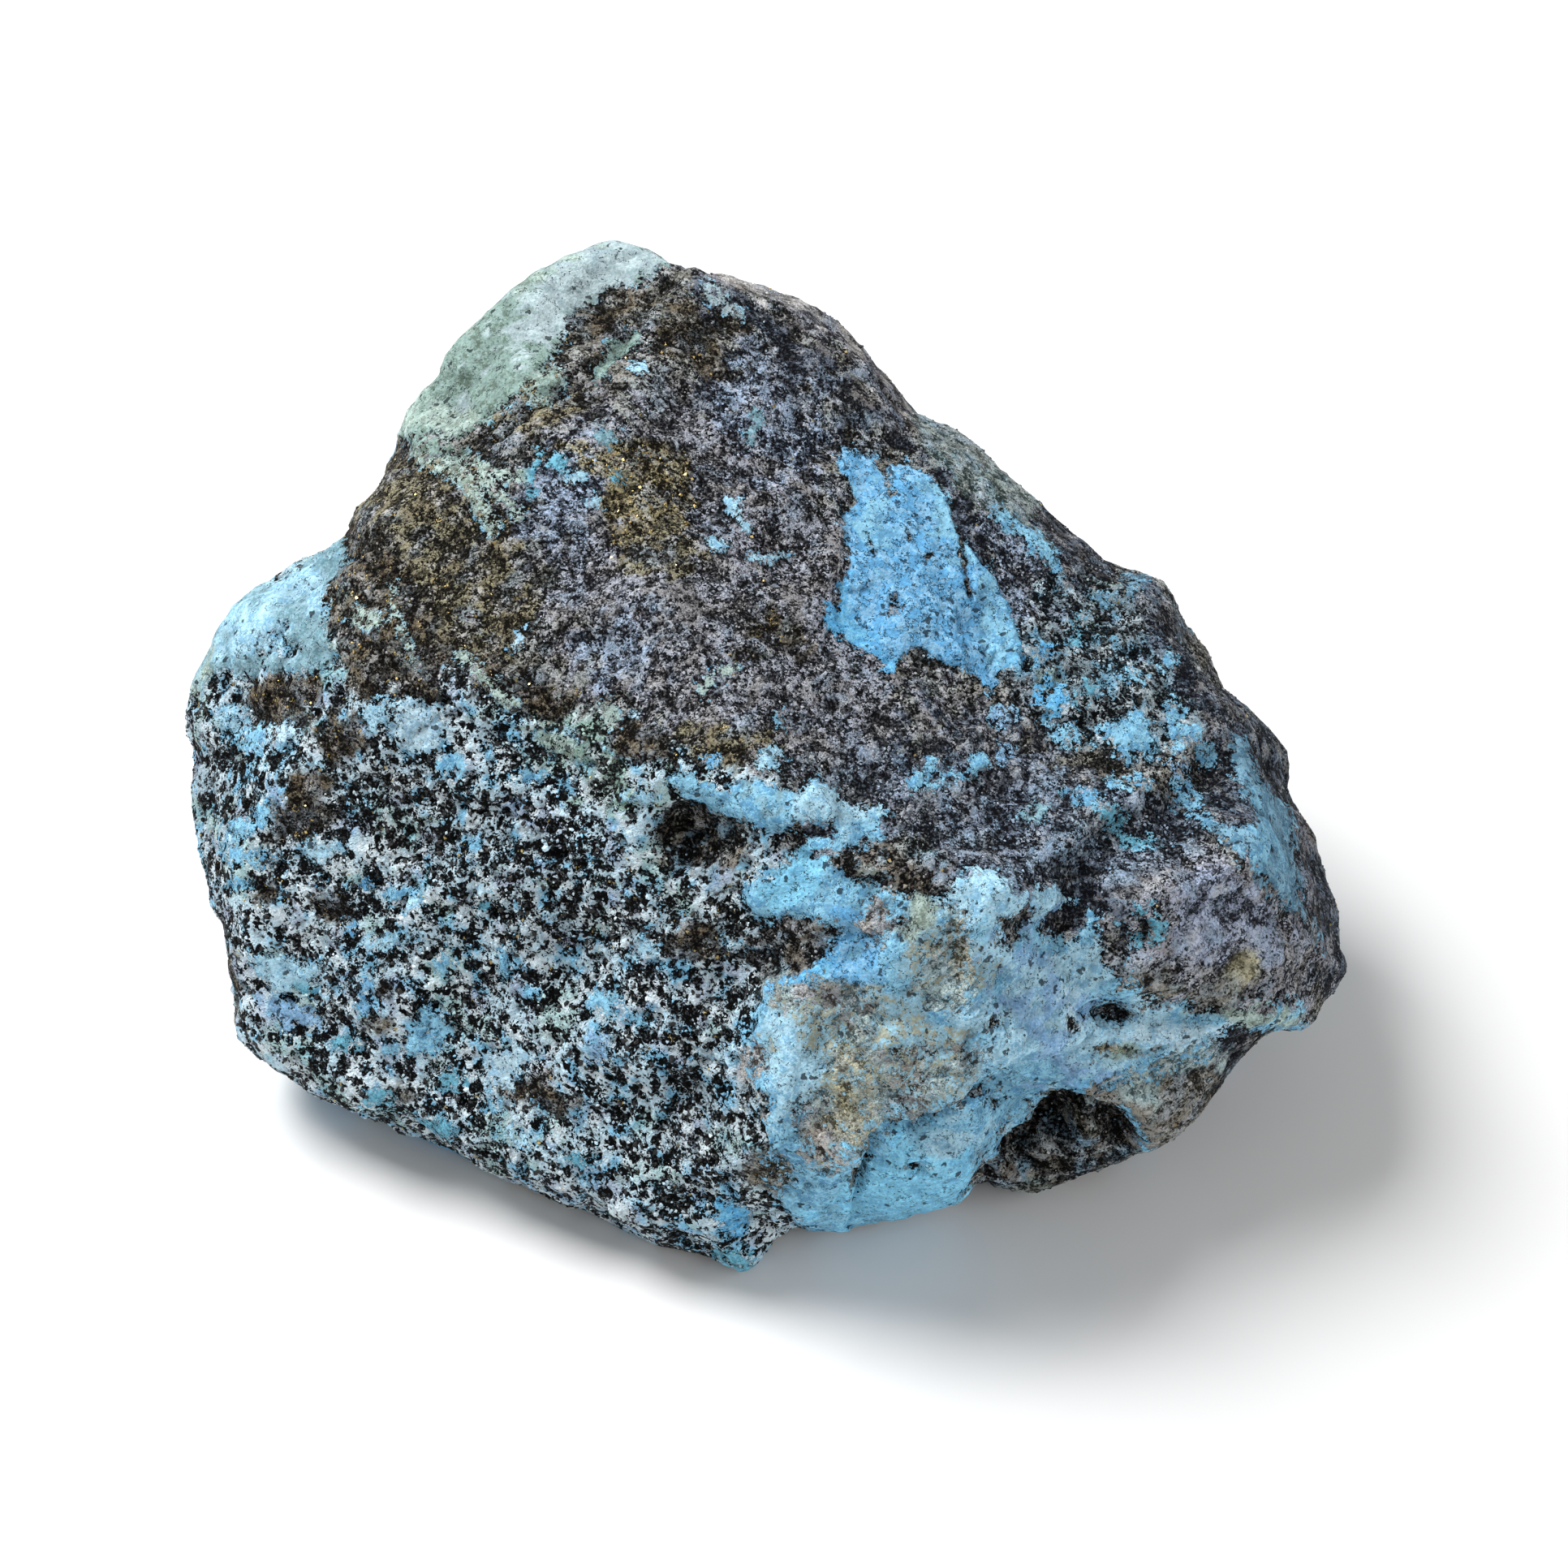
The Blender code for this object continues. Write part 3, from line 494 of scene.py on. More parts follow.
          (424, 680), (417, 707), (398, 728), (406, 769), (406, 815), (393, 830), (361, 827),
          (330, 822), (307, 836), (280, 826), (262, 850)), EGGSHELL, 0.30, 0.20),
    hole(area((344, 770), (352, 760), (360, 766), (352, 776)), 0.1),
    hole(blob(357, 801, 14, 7), 0.3),
    hole(blob(325, 808, 8, 4), 0.2),
    hole(blob(337, 786, 5, 4), 0.1),
    # Small patches of the speckled rock.
    (area((480, 905), (486, 875), (510, 862), (545, 880), (545, 915), (530, 930), (500, 925)), FROST,
          0.6, 0.20),
    (blob(470, 880, 20, 16, -40), POWDER, 0.8, 0.10),
    (blob(305, 910, 26, 16, 10), SKY, 0.7, 0.12),
    (blob(350, 905, 20, 14), FROST, 0.7, 0.10),
    (blob(283, 885, 16, 14), POWDER, 0.7, 0.10),
    (blob(325, 1005, 16, 11, -50), SKY, 0.4, 0.12),
    (blob(298, 1018, 16, 9, 10), SKY, 0.4, 0.12),
    (blob(300, 1052, 28, 9, 12), SKY, 0.3, 0.15),
    (blob(396, 1048, 20, 13), POWDER, 0.6, 0.12),
    (blob(296, 1088, 10, 9), SKY, 0.5, 0.10),
    (blob(452, 1088, 7, 8), BRIGHT, 0.15, 0.15),
    (blob(393, 1094, 6, 5), SKY, 0.2, 0.10),
    (blob(488, 1102, 12, 7), SKY, 0.4, 0.10),
    (blob(505, 1118, 12, 8), POWDER, 0.5, 0.05),
    (blob(432, 1150, 5, 9, -20), BRIGHT, 0.2, 0.10),
    (blob(474, 1163, 28, 8, -5), POWDER, 0.6, 0.10),
    (area((305, 1170), (325, 1178), (350, 1175), (398, 1190), (395, 1205), (345, 1228), (322, 1200)),
          POWDER, 0.5, 0.15),
    (blob(378, 1219, 12, 6, 10), TEAL, 0.3, 0.10),
    (streak(11, (451, 1210), (449, 1230), (442, 1250)), BRIGHT, 0.4, 0.12),
    (blob(549, 1186, 12, 15, 20), SKY, 0.5, 0.10),
    (area((335, 1232), (370, 1238), (396, 1252), (392, 1270), (355, 1266), (340, 1250)), PERIWINKLE,
          0.4, 0.15),
    (area((496, 1290), (515, 1262), (520, 1244), (548, 1248), (553, 1275), (540, 1298), (515, 1300)),
          SKY, 0.35, 0.20),
    hole(blob(530, 1272, 5, 4), 0.2),
    (blob(427, 1286, 16, 10), TEAL, 0.5, 0.10),
    (blob(488, 1295, 14, 7), SKY, 0.5, 0.08),
    (area((598, 1300), (640, 1292), (668, 1300), (640, 1315), (634, 1345), (606, 1340)), FROST, 0.4,
          0.15),
    (blob(474, 1350, 15, 9, 20), TEAL, 0.5, 0.12),
    (blob(603, 1359, 9, 8), SKY, 0.5, 0.05),
    (blob(597, 1119, 7, 6), TEAL, 0.3, 0.08),
    (blob(622, 1187, 6, 14), SKY, 0.2, 0.15),
    (blob(678, 1130, 9, 7), FROST, 0.3, 0.12),
    (blob(592, 1098, 8, 7), FROST, 0.2, 0.15),
    (blob(745, 1236, 20, 15), SKY, 0.8, 0.10),
    (blob(780, 1257, 12, 9), SKY, 0.5, 0.10),
    (blob(734, 1290, 16, 20), PERIWINKLE, 0.8, 0.08),
    (blob(795, 1172, 14, 12), POWDER, 0.6, 0.10),
    (blob(890, 1300, 24, 9), FROST, 0.6, 0.05),
    (blob(790, 985, 18, 12), POWDER, 0.7, 0.10),
    (blob(650, 960, 16, 9), SKY, 0.7, 0.05),
    (blob(560, 945, 14, 12), SKY, 0.7, 0.05),
    (blob(690, 925, 30, 14, 30), LICHEN, 1.0, 0.05),
    (blob(560, 1330, 16, 12), TEAL, 0.6, 0.08),
    (blob(540, 1390, 20, 10, 20), TEAL, 0.6, 0.08),
    (blob(640, 1400, 20, 10, 20), POWDER, 0.7, 0.05),
    (blob(715, 1430, 16, 9, 20), TEAL, 0.6, 0.05),
]

# Tints within the turquoise: outline, how softly it ends, and the kind that shows there.
TINTS = [
    (blob(765, 330, 72, 34, 8), 2.0, CHALK),
    (blob(690, 385, 50, 26, -40), 2.0, CHALK),
    (streak(40, (800, 322), (735, 350), (676, 392), (640, 430)), 1.6, PORCELAIN),
    (streak(26, (640, 430), (600, 470), (560, 505)), 1.6, PORCELAIN),
    (blob(600, 470, 60, 40, -40), 3.0, SEA_GREEN),
    (streak(20, (500, 500), (560, 430), (640, 360), (740, 305)), 1.0, LICHEN),
    (blob(540, 520, 40, 20), 1.0, LICHEN),
    (blob(1035, 745, 14, 60), 0.8, DEEP),
    (blob(1060, 790, 30, 16, 30), 0.8, DEEP),
    (blob(1104, 830, 18, 20), 0.8, DEEP),
    (blob(1250, 800, 16, 30), 1.0, DEEP),
    (blob(1230, 770, 20, 40), 1.5, SKY),
    (blob(1170, 640, 20, 50, -20), 1.5, SKY),
    (blob(1070, 650, 22, 60, -15), 1.5, SKY),
    (blob(1045, 990, 60, 34), 1.5, POWDER),
    (blob(920, 980, 60, 20), 1.5, EGGSHELL),
    (blob(1215, 1108, 60, 40), 1.2, POWDER),
    (blob(1290, 1108, 40, 26), 1.0, POWDER),
    (blob(1020, 1190, 70, 45, -30), 1.5, BRIGHT),
    (blob(1000, 1195, 35, 22, -35), 1.2, DEEP),
    (blob(990, 1080, 25, 30), 1.2, AQUA),
    (blob(1130, 1130, 30, 22), 1.2, LICHEN),
    (blob(1170, 1195, 48, 42), 1.2, SAND),
    (area((955, 1225), (1010, 1210), (1060, 1220), (1120, 1240), (1190, 1270), (1215, 1300),
          (1180, 1335), (1110, 1365), (1070, 1395), (1050, 1430), (1010, 1440), (985, 1400),
          (1000, 1350), (960, 1290)), 1.2, SAND),
    (blob(1075, 1345, 60, 22, -30), 1.2, SAND),
    (blob(975, 1310, 26, 56, -10), 1.5, POWDER),
    (blob(1205, 1428, 8, 8), 0.4, PINK_TAN),
    (blob(1290, 1250, 64, 100, -20), 2.2, PERIWINKLE),
    (streak(34, (1195, 1255), (1240, 1290), (1290, 1335)), 1.6, POWDER),
    (streak(18, (1225, 1160), (1262, 1200), (1285, 1250)), 1.6, POWDER),
    (streak(14, (1280, 1160), (1312, 1210), (1325, 1270)), 1.2, FROST),
    (blob(1255, 1330, 50, 30, -20), 1.5, SKY),
    (blob(1240, 1300, 30, 14), 0.8, POWDER),
    (blob(1335, 1190, 40, 34), 1.2, POWDER),
    (blob(1360, 1290, 60, 30), 1.0, POWDER),
    (blob(1120, 1460, 100, 60), 2.0, AQUA),
    (blob(1180, 1400, 40, 20, -30), 1.2, POWDER),
    (blob(1410, 1270, 60, 30), 1.5, POWDER),
    (blob(1540, 1250, 60, 14), 1.0, LICHEN),
    (blob(1460, 1280, 50, 20), 1.2, FROST),
    (blob(1390, 1295, 16, 8), 0.5, OLIVE),
    (blob(1560, 1040, 16, 40), 1.0, SKY),
    (blob(890, 985, 50, 20), 1.0, SKY),
    (blob(370, 720, 40, 26), 1.5, POWDER),
    (blob(315, 785, 34, 30), 1.5, POWDER),
    (streak(24, (245, 850), (262, 770), (320, 700), (400, 650)), 0.8, LICHEN),
]

# Cracks, grooves and pits: outline, and how deep the surface sinks there.
HOLLOWS = [
    (streak(9, (832, 352), (797, 380), (767, 428), (708, 479), (662, 503), (607, 542)), 0.40),
    (streak(7, (700, 430), (722, 400), (752, 382), (800, 368)), 0.30),
    (streak(5, (1183, 676), (1191, 704), (1199, 741)), 0.40),
    (streak(4, (272, 925), (299, 938)), 0.35),
    (streak(16, (1056, 1458), (1060, 1428), (1074, 1409), (1093, 1392), (1120, 1384), (1152, 1369),
            (1179, 1355), (1205, 1339), (1230, 1323)), 0.70),
    (streak(22, (1222, 1446), (1240, 1412), (1256, 1396), (1294, 1372), (1322, 1362)), 1.00),
    (streak(20, (1322, 1362), (1340, 1374), (1368, 1380), (1382, 1390)), 0.95),
    (streak(4, (1188, 1344), (1210, 1347), (1231, 1355)), 0.30),
    (blob(1130, 1438, 12, 9), 0.45),
    (blob(1285, 1405, 26, 22), -0.80),
    (blob(1250, 1440, 24, 16), -0.60),
    (streak(16, (1338, 1372), (1334, 1400), (1322, 1430)), -0.70),
    (blob(1368, 1412, 16, 10), -0.50),
    (blob(780, 602, 8, 6), 0.55),
    (blob(770, 628, 9, 5), 0.50),
    (blob(815, 570, 6, 5), 0.40),
    (blob(330, 1099, 9, 7), 0.35),
    (streak(5, (497, 1112), (486, 1130)), 0.45),
    (area((820, 1010), (845, 988), (880, 996), (915, 1012), (922, 1044), (890, 1052), (868, 1074),
          (835, 1062), (842, 1036)), 0.40),
    (streak(7, (836, 1012), (852, 1030), (874, 1034)), 0.40),
    (streak(6, (888, 1046), (902, 1030), (898, 1012)), 0.35),
    (blob(1409, 1144, 9, 13), 0.45),
    (blob(1374, 1251, 20, 9), 0.30),
    (blob(1000, 1027, 28, 8, -8), 0.30),
    (blob(1102, 743, 11, 8), 0.25),
    (streak(4, (1350, 1300), (1372, 1296), (1398, 1302), (1430, 1299)), 0.22),
    (streak(4, (1375, 1296), (1382, 1318)), 0.20),
    (streak(4, (1000, 1395), (1020, 1372), (1046, 1366)), 0.20),
]

# Steps of the broad side that are sharper than the solid's facets: the edge, as a route with
# the raised side on its left, how far back the step lasts, and its height.
LEDGES = [
    (((1051, 1454), (1057, 1417), (1068, 1401), (1089, 1382), (1116, 1375), (1148, 1360),
      (1175, 1347), (1201, 1331), (1226, 1315), (1240, 1300)), 3.0, 1.00),
    (((1225, 1430), (1231, 1416), (1247, 1388), (1269, 1374), (1290, 1355), (1318, 1345),
      (1344, 1362), (1370, 1364), (1385, 1371)), 2.0, 0.55),
    (((600, 530), (655, 490), (700, 470), (760, 420), (790, 370), (825, 345)), 1.8, 0.45),
    (((1258, 820), (1236, 722), (1180, 668), (1157, 600)), 1.0, 0.22),
    (((1480, 1010), (1540, 1110), (1600, 1165), (1650, 1200)), 1.5, 0.25),
]

# Swells of the outline beyond the solid's: outline, and height.
SWELLS = [
    (streak(60, (498, 512), (520, 480)), 0.55),
    (streak(90, (565, 420), (609, 375), (684, 321), (770, 298)), 1.15),
    (streak(80, (420, 1357), (370, 1336), (324, 1308), (303, 1285)), 1.10),
    (streak(80, (234, 875), (240, 825), (262, 785), (293, 747)), 0.80),
    (streak(60, (1410, 1420), (1467, 1381)), 0.50),
    (streak(60, (1650, 1215), (1622, 1244)), 0.50),
    (blob(940, 1550, 50, 34), 0.55),
    (streak(44, (1416, 700), (1452, 742)), 0.50),
    (blob(867, 334, 36, 24), 0.50),
]

# The two faces that broke off nearly level.
LEVEL_FACES = [
    area((560, 560), (720, 480), (860, 430), (960, 520), (1020, 700), (1080, 880), (900, 890),
         (700, 850), (560, 800), (470, 700)),
    area((280, 900), (450, 880), (700, 960), (850, 1060), (900, 1250), (900, 1450),
         (760, 1440), (500, 1360), (320, 1250)),
]

# The rock of the sides that the eye doesn't see: each kind, and how rare it is.
HIDDEN_ZONES = [
    (LILAC, 0.0), (BROWN, 0.1), (SPECKLED, 0.12), (DARK_SPECKLED, 0.18), (BLUE_GREY, 0.2),
    (DARK_BROWN, 0.22), (GOLDEN, 0.42),
]

# Mottling of the rock: colour, size, how rare, and the most of it, below zero in fine rock.
MOTTLES = [
    (paint(118, 190, 228), 1.7, 0.08, 0.85),
    (paint(156, 190, 176), 3.6, 0.26, 0.50),
    (paint(164, 168, 196), 2.2, 0.28, 0.50),
    (paint(222, 236, 242), 1.5, 0.04, 0.80),
    (paint(124, 112, 92), 2.0, 0.05, -0.50),
    (paint(140, 165, 190), 2.4, 0.19, -0.50),
    (paint(200, 202, 206), 1.1, 0.20, -0.60),
]

# Unevenness of the skin: each random field's size, octaves and seed.
UNEVENNESS = {
    "grain": (0.60, 2, 41.0), "fine": (0.32, 1, 42.0), "lumps": (2.8, 4, 43.0),
    "pits": (1.3, 2, 44.0), "creases": (4.2, 3, 46.0), "flakes": (1.6, 3, 47.0),
}

# The unseen sides: how large their zones of rock and patches of turquoise are, how much of
# them is turquoise, its kinds, and how far a point may be said to be from a patch's edge.
ZONE_SIZE = 13.0
KIND_SIZE = 9.0
HIDDEN_KINDS = [POWDER, SEA_GREEN, BRIGHT, TEAL, LICHEN, EGGSHELL, SAND]
FAR = 3.0
PATCH_SIZE = 15.0
PATCH_LEVEL = 0.16
PATCH_SLOPE = 9.0
VEIN_SIZE = 22.0
VEIN_WIDTH = 0.022

# How squarely the skin has to face the eye to be made up as seen: not at all, and wholly.
TURN_ROUND = (-0.20, 0.10)


def leaning(points):
    """Points of the frame, in the leaning frame."""
    return (points - ORIGIN) @ np.column_stack((RIGHT, UP, BACK))


def pixels(points):
    """Where the eye sees points of the frame."""
    u, v, w = leaning(points).T
    scale = PIXELS_PER_MM / (1.0 - w / EYE_DISTANCE)
    return np.column_stack((AXIS_PIXEL[0] + u * scale, AXIS_PIXEL[1] - v * scale))


def ease(value, low, high):
    """A soft step from 0 at low to 1 at high."""
    share = np.clip((value - low) / (high - low), 0.0, 1.0)
    return share * share * (3.0 - 2.0 * share)


def swirl(points, size, octaves=1, seed=0.0):
    """A random field from about -1 to 1 whose swells are about this size."""
    scaled = (points / size + seed * SEED_STEP).tolist()
    if octaves == 1:
        return np.array([noise.noise(at) for at in scaled])
    return np.array([noise.fractal(at, FADING, REFINING, octaves) for at in scaled])


def strayed(at, points, size, reach, seeds):
    """Pixels moved about at random, by swells of a size and a reach in pixels."""
    return at + reach * np.column_stack([swirl(points, size, 3, seed) for seed in seeds])


def chips(points, size, seed):
    """Flat facets of a size that meet in sharp edges, as on a fresh break."""
    scaled = points / size + seed * SEED_STEP
    middles = np.array([noise.voronoi(at)[1] for at in scaled.tolist()])
    away = scaled[:, None] - middles
    tilt = np.stack([np.sin(middles @ way * CHIP_TURN) for way in CHIP_WAYS], axis=2)
    height = (tilt * away).sum(axis=2) - CHIP_FALL * (away ** 2).sum(axis=2)
    return size * height.max(axis=1)


def arrays(mesh):
    """The corners and faces of a bmesh, which is freed."""
    corners = np.array([vert.co[:] for vert in mesh.verts])
    faces = np.array([[vert.index for vert in face.verts] for face in mesh.faces])
    mesh.free()
    return corners, faces


def ball(cells):
    """Directions of even cells on a ball, closer together towards the eye, and the cells."""
    mesh = bmesh.new()
    bmesh.ops.create_cube(mesh, size=2.0)
    bmesh.ops.subdivide_edges(mesh, edges=mesh.edges, cuts=cells - 1, use_grid_fill=True)
    corners, faces = arrays(mesh)
    corners = np.tan(corners * math.pi / 4.0)
    corners /= np.linalg.norm(corners, axis=1)[:, None]
    warped = corners * (SIDE_STRETCH, SIDE_STRETCH, 1.0) + (0.0, 0.0, EYE_SHIFT)
    directions = warped @ np.array([RIGHT, UP, BACK])
    return directions / np.linalg.norm(directions, axis=1)[:, None], faces


def cad_surface(node):
    """The solid's own surface, to be met by rays, in millimetres."""
    mesh = node.data
    corners = [tuple(vert.co / MM) for vert in mesh.vertices]
    faces = [tuple(face.vertices) for face in mesh.polygons]
    return BVHTree.FromPolygons(corners, faces)


def cast(surface, directions):
    """Where rays from the stone's heart meet the surface."""
    heart = Vector(HEART)
    far = [surface.ray_cast(heart, Vector(way))[3] for way in directions]
    return HEART + directions * np.array(far)[:, None]


def neighbours(faces):
    """Pairs of joined corners, both ways round."""
    sides = np.concatenate([faces[:, [i, (i + 1) % 4]] for i in range(4)])
    return np.concatenate((sides, sides[:, ::-1]))


def smoothed(values, pairs, times):
    """Values averaged with their neighbours, this many times."""
    count = np.bincount(pairs[:, 0], minlength=len(values)).astype(float)
    for _ in range(times):
        columns = [
            np.bincount(pairs[:, 0], weights=column[pairs[:, 1]], minlength=len(values))
            for column in np.atleast_2d(values.T)
        ]
        mean = (np.array(columns) / count).T.reshape(values.shape)
        values = 0.5 * (values + mean)
    return values


def corner_normals(points, faces):
    """Which way the surface faces at each corner."""
    across = np.cross(points[faces[:, 2]] - points[faces[:, 0]],
                      points[faces[:, 3]] - points[faces[:, 1]])
    normals = np.zeros_like(points)
    for i in range(4):
        for axis in range(3):
            normals[:, axis] += np.bincount(
                faces[:, i], weights=across[:, axis], minlength=len(points))
    normals /= np.maximum(np.linalg.norm(normals, axis=1), 1e-12)[:, None]
    outward = np.sign(((points - HEART) * normals).sum(axis=1).mean())
    return normals * outward


def laid(kind, shapes, at, frayed, fray, half_edge):
    """Kinds laid over each other in turn, each within its shape, with a frayed soft edge."""
    for number, (shape, softness, other) in enumerate(shapes):
        inside = shape(at) + fray * softness * frayed[number % len(frayed)]
        kind += (other - kind) * ease(inside, -half_edge, half_edge)[:, None]
    return kind


def mottle(kind, points):
    """The rock's own changes of colour from one millimetre to the next."""
    coarse = kind[:, 6]
    pale = kind[:, 0:3]
    for number, (colour, size, level, most) in enumerate(MOTTLES):
        amount = ease(swirl(points, size, 4, 60.0 + number), level, level + 0.25)
        amount = amount * np.where(most > 0.0, coarse, 1.0 - coarse) * abs(most)
        pale += (colour - pale) * amount[:, None]
    clusters = 0.9 * swirl(points, 1.2, 3, 70.0) + 0.5 * swirl(points, 4.5, 2, 71.0)
    kind[:, 7] += (0.22 + 0.38 * coarse) * clusters
    return kind


def hidden_rock(points):
    """The rock's make-up on the sides that the eye doesn't see."""
    kind = np.tile(GREY, (len(points), 1))
    for number, (zone, level) in enumerate(HIDDEN_ZONES):
        inside = swirl(points, ZONE_SIZE, 6, 1.0 + number)
        kind += (zone - kind) * ease(inside, level - 0.03, level + 0.03)[:, None]
    return kind


def seen_turquoise(at, frayed):
    """Turquoise where the eye sees it: how far inside a patch, its colour, edge and rise."""
    inside = np.full(len(at), -FAR)
    kind = np.tile(SKY, (len(at), 1))
    edge = np.full(len(at), 0.4)
    rise = np.zeros(len(at))
    for shape, colour, ragged, height in PATCHES:
        depth = shape(at)
        share = ease(depth, -0.45, 0.05)
        edge += (ragged - edge) * share
        if colour is None:
            inside = np.minimum(inside, -depth)
            continue
        inside = np.maximum(inside, depth)
        kind += (colour - kind) * share[:, None]
        rise += (height - rise) * share
    return inside, laid(kind, TINTS, at, frayed, 1.2, 0.3), edge, rise


def hidden_turquoise(points):
    """The same on the sides that the eye doesn't see."""
    patches = (swirl(points, PATCH_SIZE, 4, 9.0) - PATCH_LEVEL) * PATCH_SLOPE
    winding = np.abs(swirl(points, VEIN_SIZE, 3, 5.0))
    veins = (VEIN_WIDTH - winding) * VEIN_SIZE
    inside = np.clip(np.maximum(patches, veins), -FAR, FAR)
    kind = np.tile(SKY, (len(points), 1))
    for number, colour in enumerate(HIDDEN_KINDS):
        share = ease(swirl(points, KIND_SIZE, 2, 20.0 + number), 0.08, 0.35)[:, None]
        kind += (colour - kind) * share
    edge = 0.45 + 0.35 * swirl(points, 8.0, 1, 31.0)
    rise = 0.18 + 0.15 * swirl(points, 6.0, 1, 33.0)
    return inside, kind, edge, rise


def make_up(points, normals):
    """What the stone is made of at each corner, as named values."""
    seen = ease(normals @ BACK, *TURN_ROUND)
    at = strayed(pixels(points), points, 1.3, 6.0, (2.0, 3.0))
    frayed = [swirl(points, 1.6, 5, 50.0 + number) for number in range(3)]
    seen_rock = laid(np.tile(GREY, (len(at), 1)), ROCK_ZONES, at, frayed, 1.6, 0.25)
    rock_kind = hidden_rock(points)
    rock_kind += (seen_rock - rock_kind) * seen[:, None]
    rock_kind = mottle(rock_kind, points)
    found = []
    for hidden, shown in zip(hidden_turquoise(points), seen_turquoise(at, frayed)):
        share = seen if hidden.ndim == 1 else seen[:, None]
        found.append(hidden + (shown - hidden) * share)
    inside, kind, edge, rise = found
    return {
        "rock_pale": rock_kind[:, 0:3],
        "rock_dark": rock_kind[:, 3:6],
        "coarse": rock_kind[:, 6],
        "pale_share": rock_kind[:, 7],
        "gold": rock_kind[:, 8],
        "turquoise_colour": kind[:, 0:3],
        "mottling_colour": kind[:, 3:6],
        "mottled": kind[:, 6],
        "spots": kind[:, 7],
        "turquoise": inside,
        "edge": edge,
        "rise": rise,
        "seen": seen,
    }


def relief(points, stuff):
    """How far the surface stands out from the solid's, at each corner."""
    at = pixels(points)
    seen = stuff["seen"]
    coarse = stuff["coarse"]
    ragged = stuff["edge"] * swirl(points, 0.8, 3, 40.0)
    within = ease(stuff["turquoise"] + ragged, -0.05, 0.30)
    field = {name: swirl(points, *how) for name, how in UNEVENNESS.items()}
    pits = np.maximum(field["pits"] - 0.25, 0.0)
    creases = np.abs(field["creases"])
    flakes = np.abs(field["flakes"])
    lumps = field["lumps"]
    rough = (0.05 + 0.13 * coarse) * field["grain"] + 0.04 * field["fine"]
    rough -= (0.2 + 0.6 * coarse) * pits
    level = np.max([ease(shape(at), -1.0, 2.5) for shape in LEVEL_FACES], axis=0)
    broken = 0.08 * chips(points, 8.0, 7.0) + 0.10 * chips(points, 4.0, 3.0)
    broken = broken * (1.0 - 0.7 * level * seen) + 0.06 * chips(points, 1.6, 5.0)
    rock_lift = broken + 0.12 * lumps + 0.15 * creases - 0.15 * flakes + rough
    crust_lift = 0.7 * stuff["rise"] + broken + 0.10 * lumps + 0.20 * creases - 0.18 * flakes
    lift = rock_lift + (crust_lift - rock_lift) * within
    stray = strayed(at, points, 0.9, 5.0, (45.0, 48.0))
    for shape, depth in HOLLOWS:
        lift -= depth * ease(shape(stray), -0.12, 0.18) * seen
    for route, lasts, height in LEDGES:
        lift += height * ledge(stray, route, lasts) * seen
    for shape, height in SWELLS:
        lift += height * ease(shape(at), -1.5, 1.5)
    off_base = ease(points[:, 2], 0.15, 1.5)
    return lift * off_base


def sunken(points, normals, pairs):
    """How far each corner lies below its surroundings, from -1 on an edge to 1 in a pit; it makes
    painted shade in pits and painted highlight on edges.
    """
    total = np.zeros(len(points))
    for rounds, reach in ((4, 0.06), (24, 0.18)):
        depth = ((smoothed(points, pairs, rounds) - points) * normals).sum(axis=1)
        total += 0.5 * np.clip((depth - np.median(depth)) / reach, -1.0, 1.0)
    return total


def ledge(at, route, lasts):
    """1 just behind the edge, on its left, dying away behind it, and 0 in front."""
    away = np.full(len(at), np.inf)
    side = np.zeros(len(at))
    for a, b in zip(route, route[1:]):
        distance = edge_distance(at, a, b)
        turn = (b[0] - a[0]) * (at[:, 1] - a[1]) - (b[1] - a[1]) * (at[:, 0] - a[0])
        nearer = distance < away
        side = np.where(nearer, -np.sign(turn), side)
        away = np.minimum(away, distance)
    behind = side * away / PIXELS_PER_MM
    return ease(behind, -0.10, 0.18) * np.exp(-np.maximum(behind, 0.0) / lasts)


def new_object(name, points, faces, values, material):
    """A mesh object of these points, in millimetres, with values at each corner."""
    mesh = bpy.data.meshes.new(name)
    mesh.from_pydata((points * MM).tolist(), [], faces.tolist())
    mesh.shade_smooth()
    for label, value in values.items():
        if value.ndim == 1:
            layer = mesh.attributes.new(label, "FLOAT", "POINT")
            layer.data.foreach_set("value", value.astype(np.float32))
        else:
            layer = mesh.attributes.new(label, "FLOAT_COLOR", "POINT")
            rgba = np.column_stack((value, np.ones(len(value))))
            layer.data.foreach_set("color", rgba.astype(np.float32).ravel())
    mesh.materials.append(material)
    made = bpy.data.objects.new(name, mesh)
    bpy.context.scene.collection.objects.link(made)
    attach(made, "root")
    return made


# Grains as a material's node tells them, and the fields that the stone's colours share.
Grains = collections.namedtuple("Grains", "away chance second third")
Fields = collections.namedtuple("Fields", "coarse fine milky torn large small")


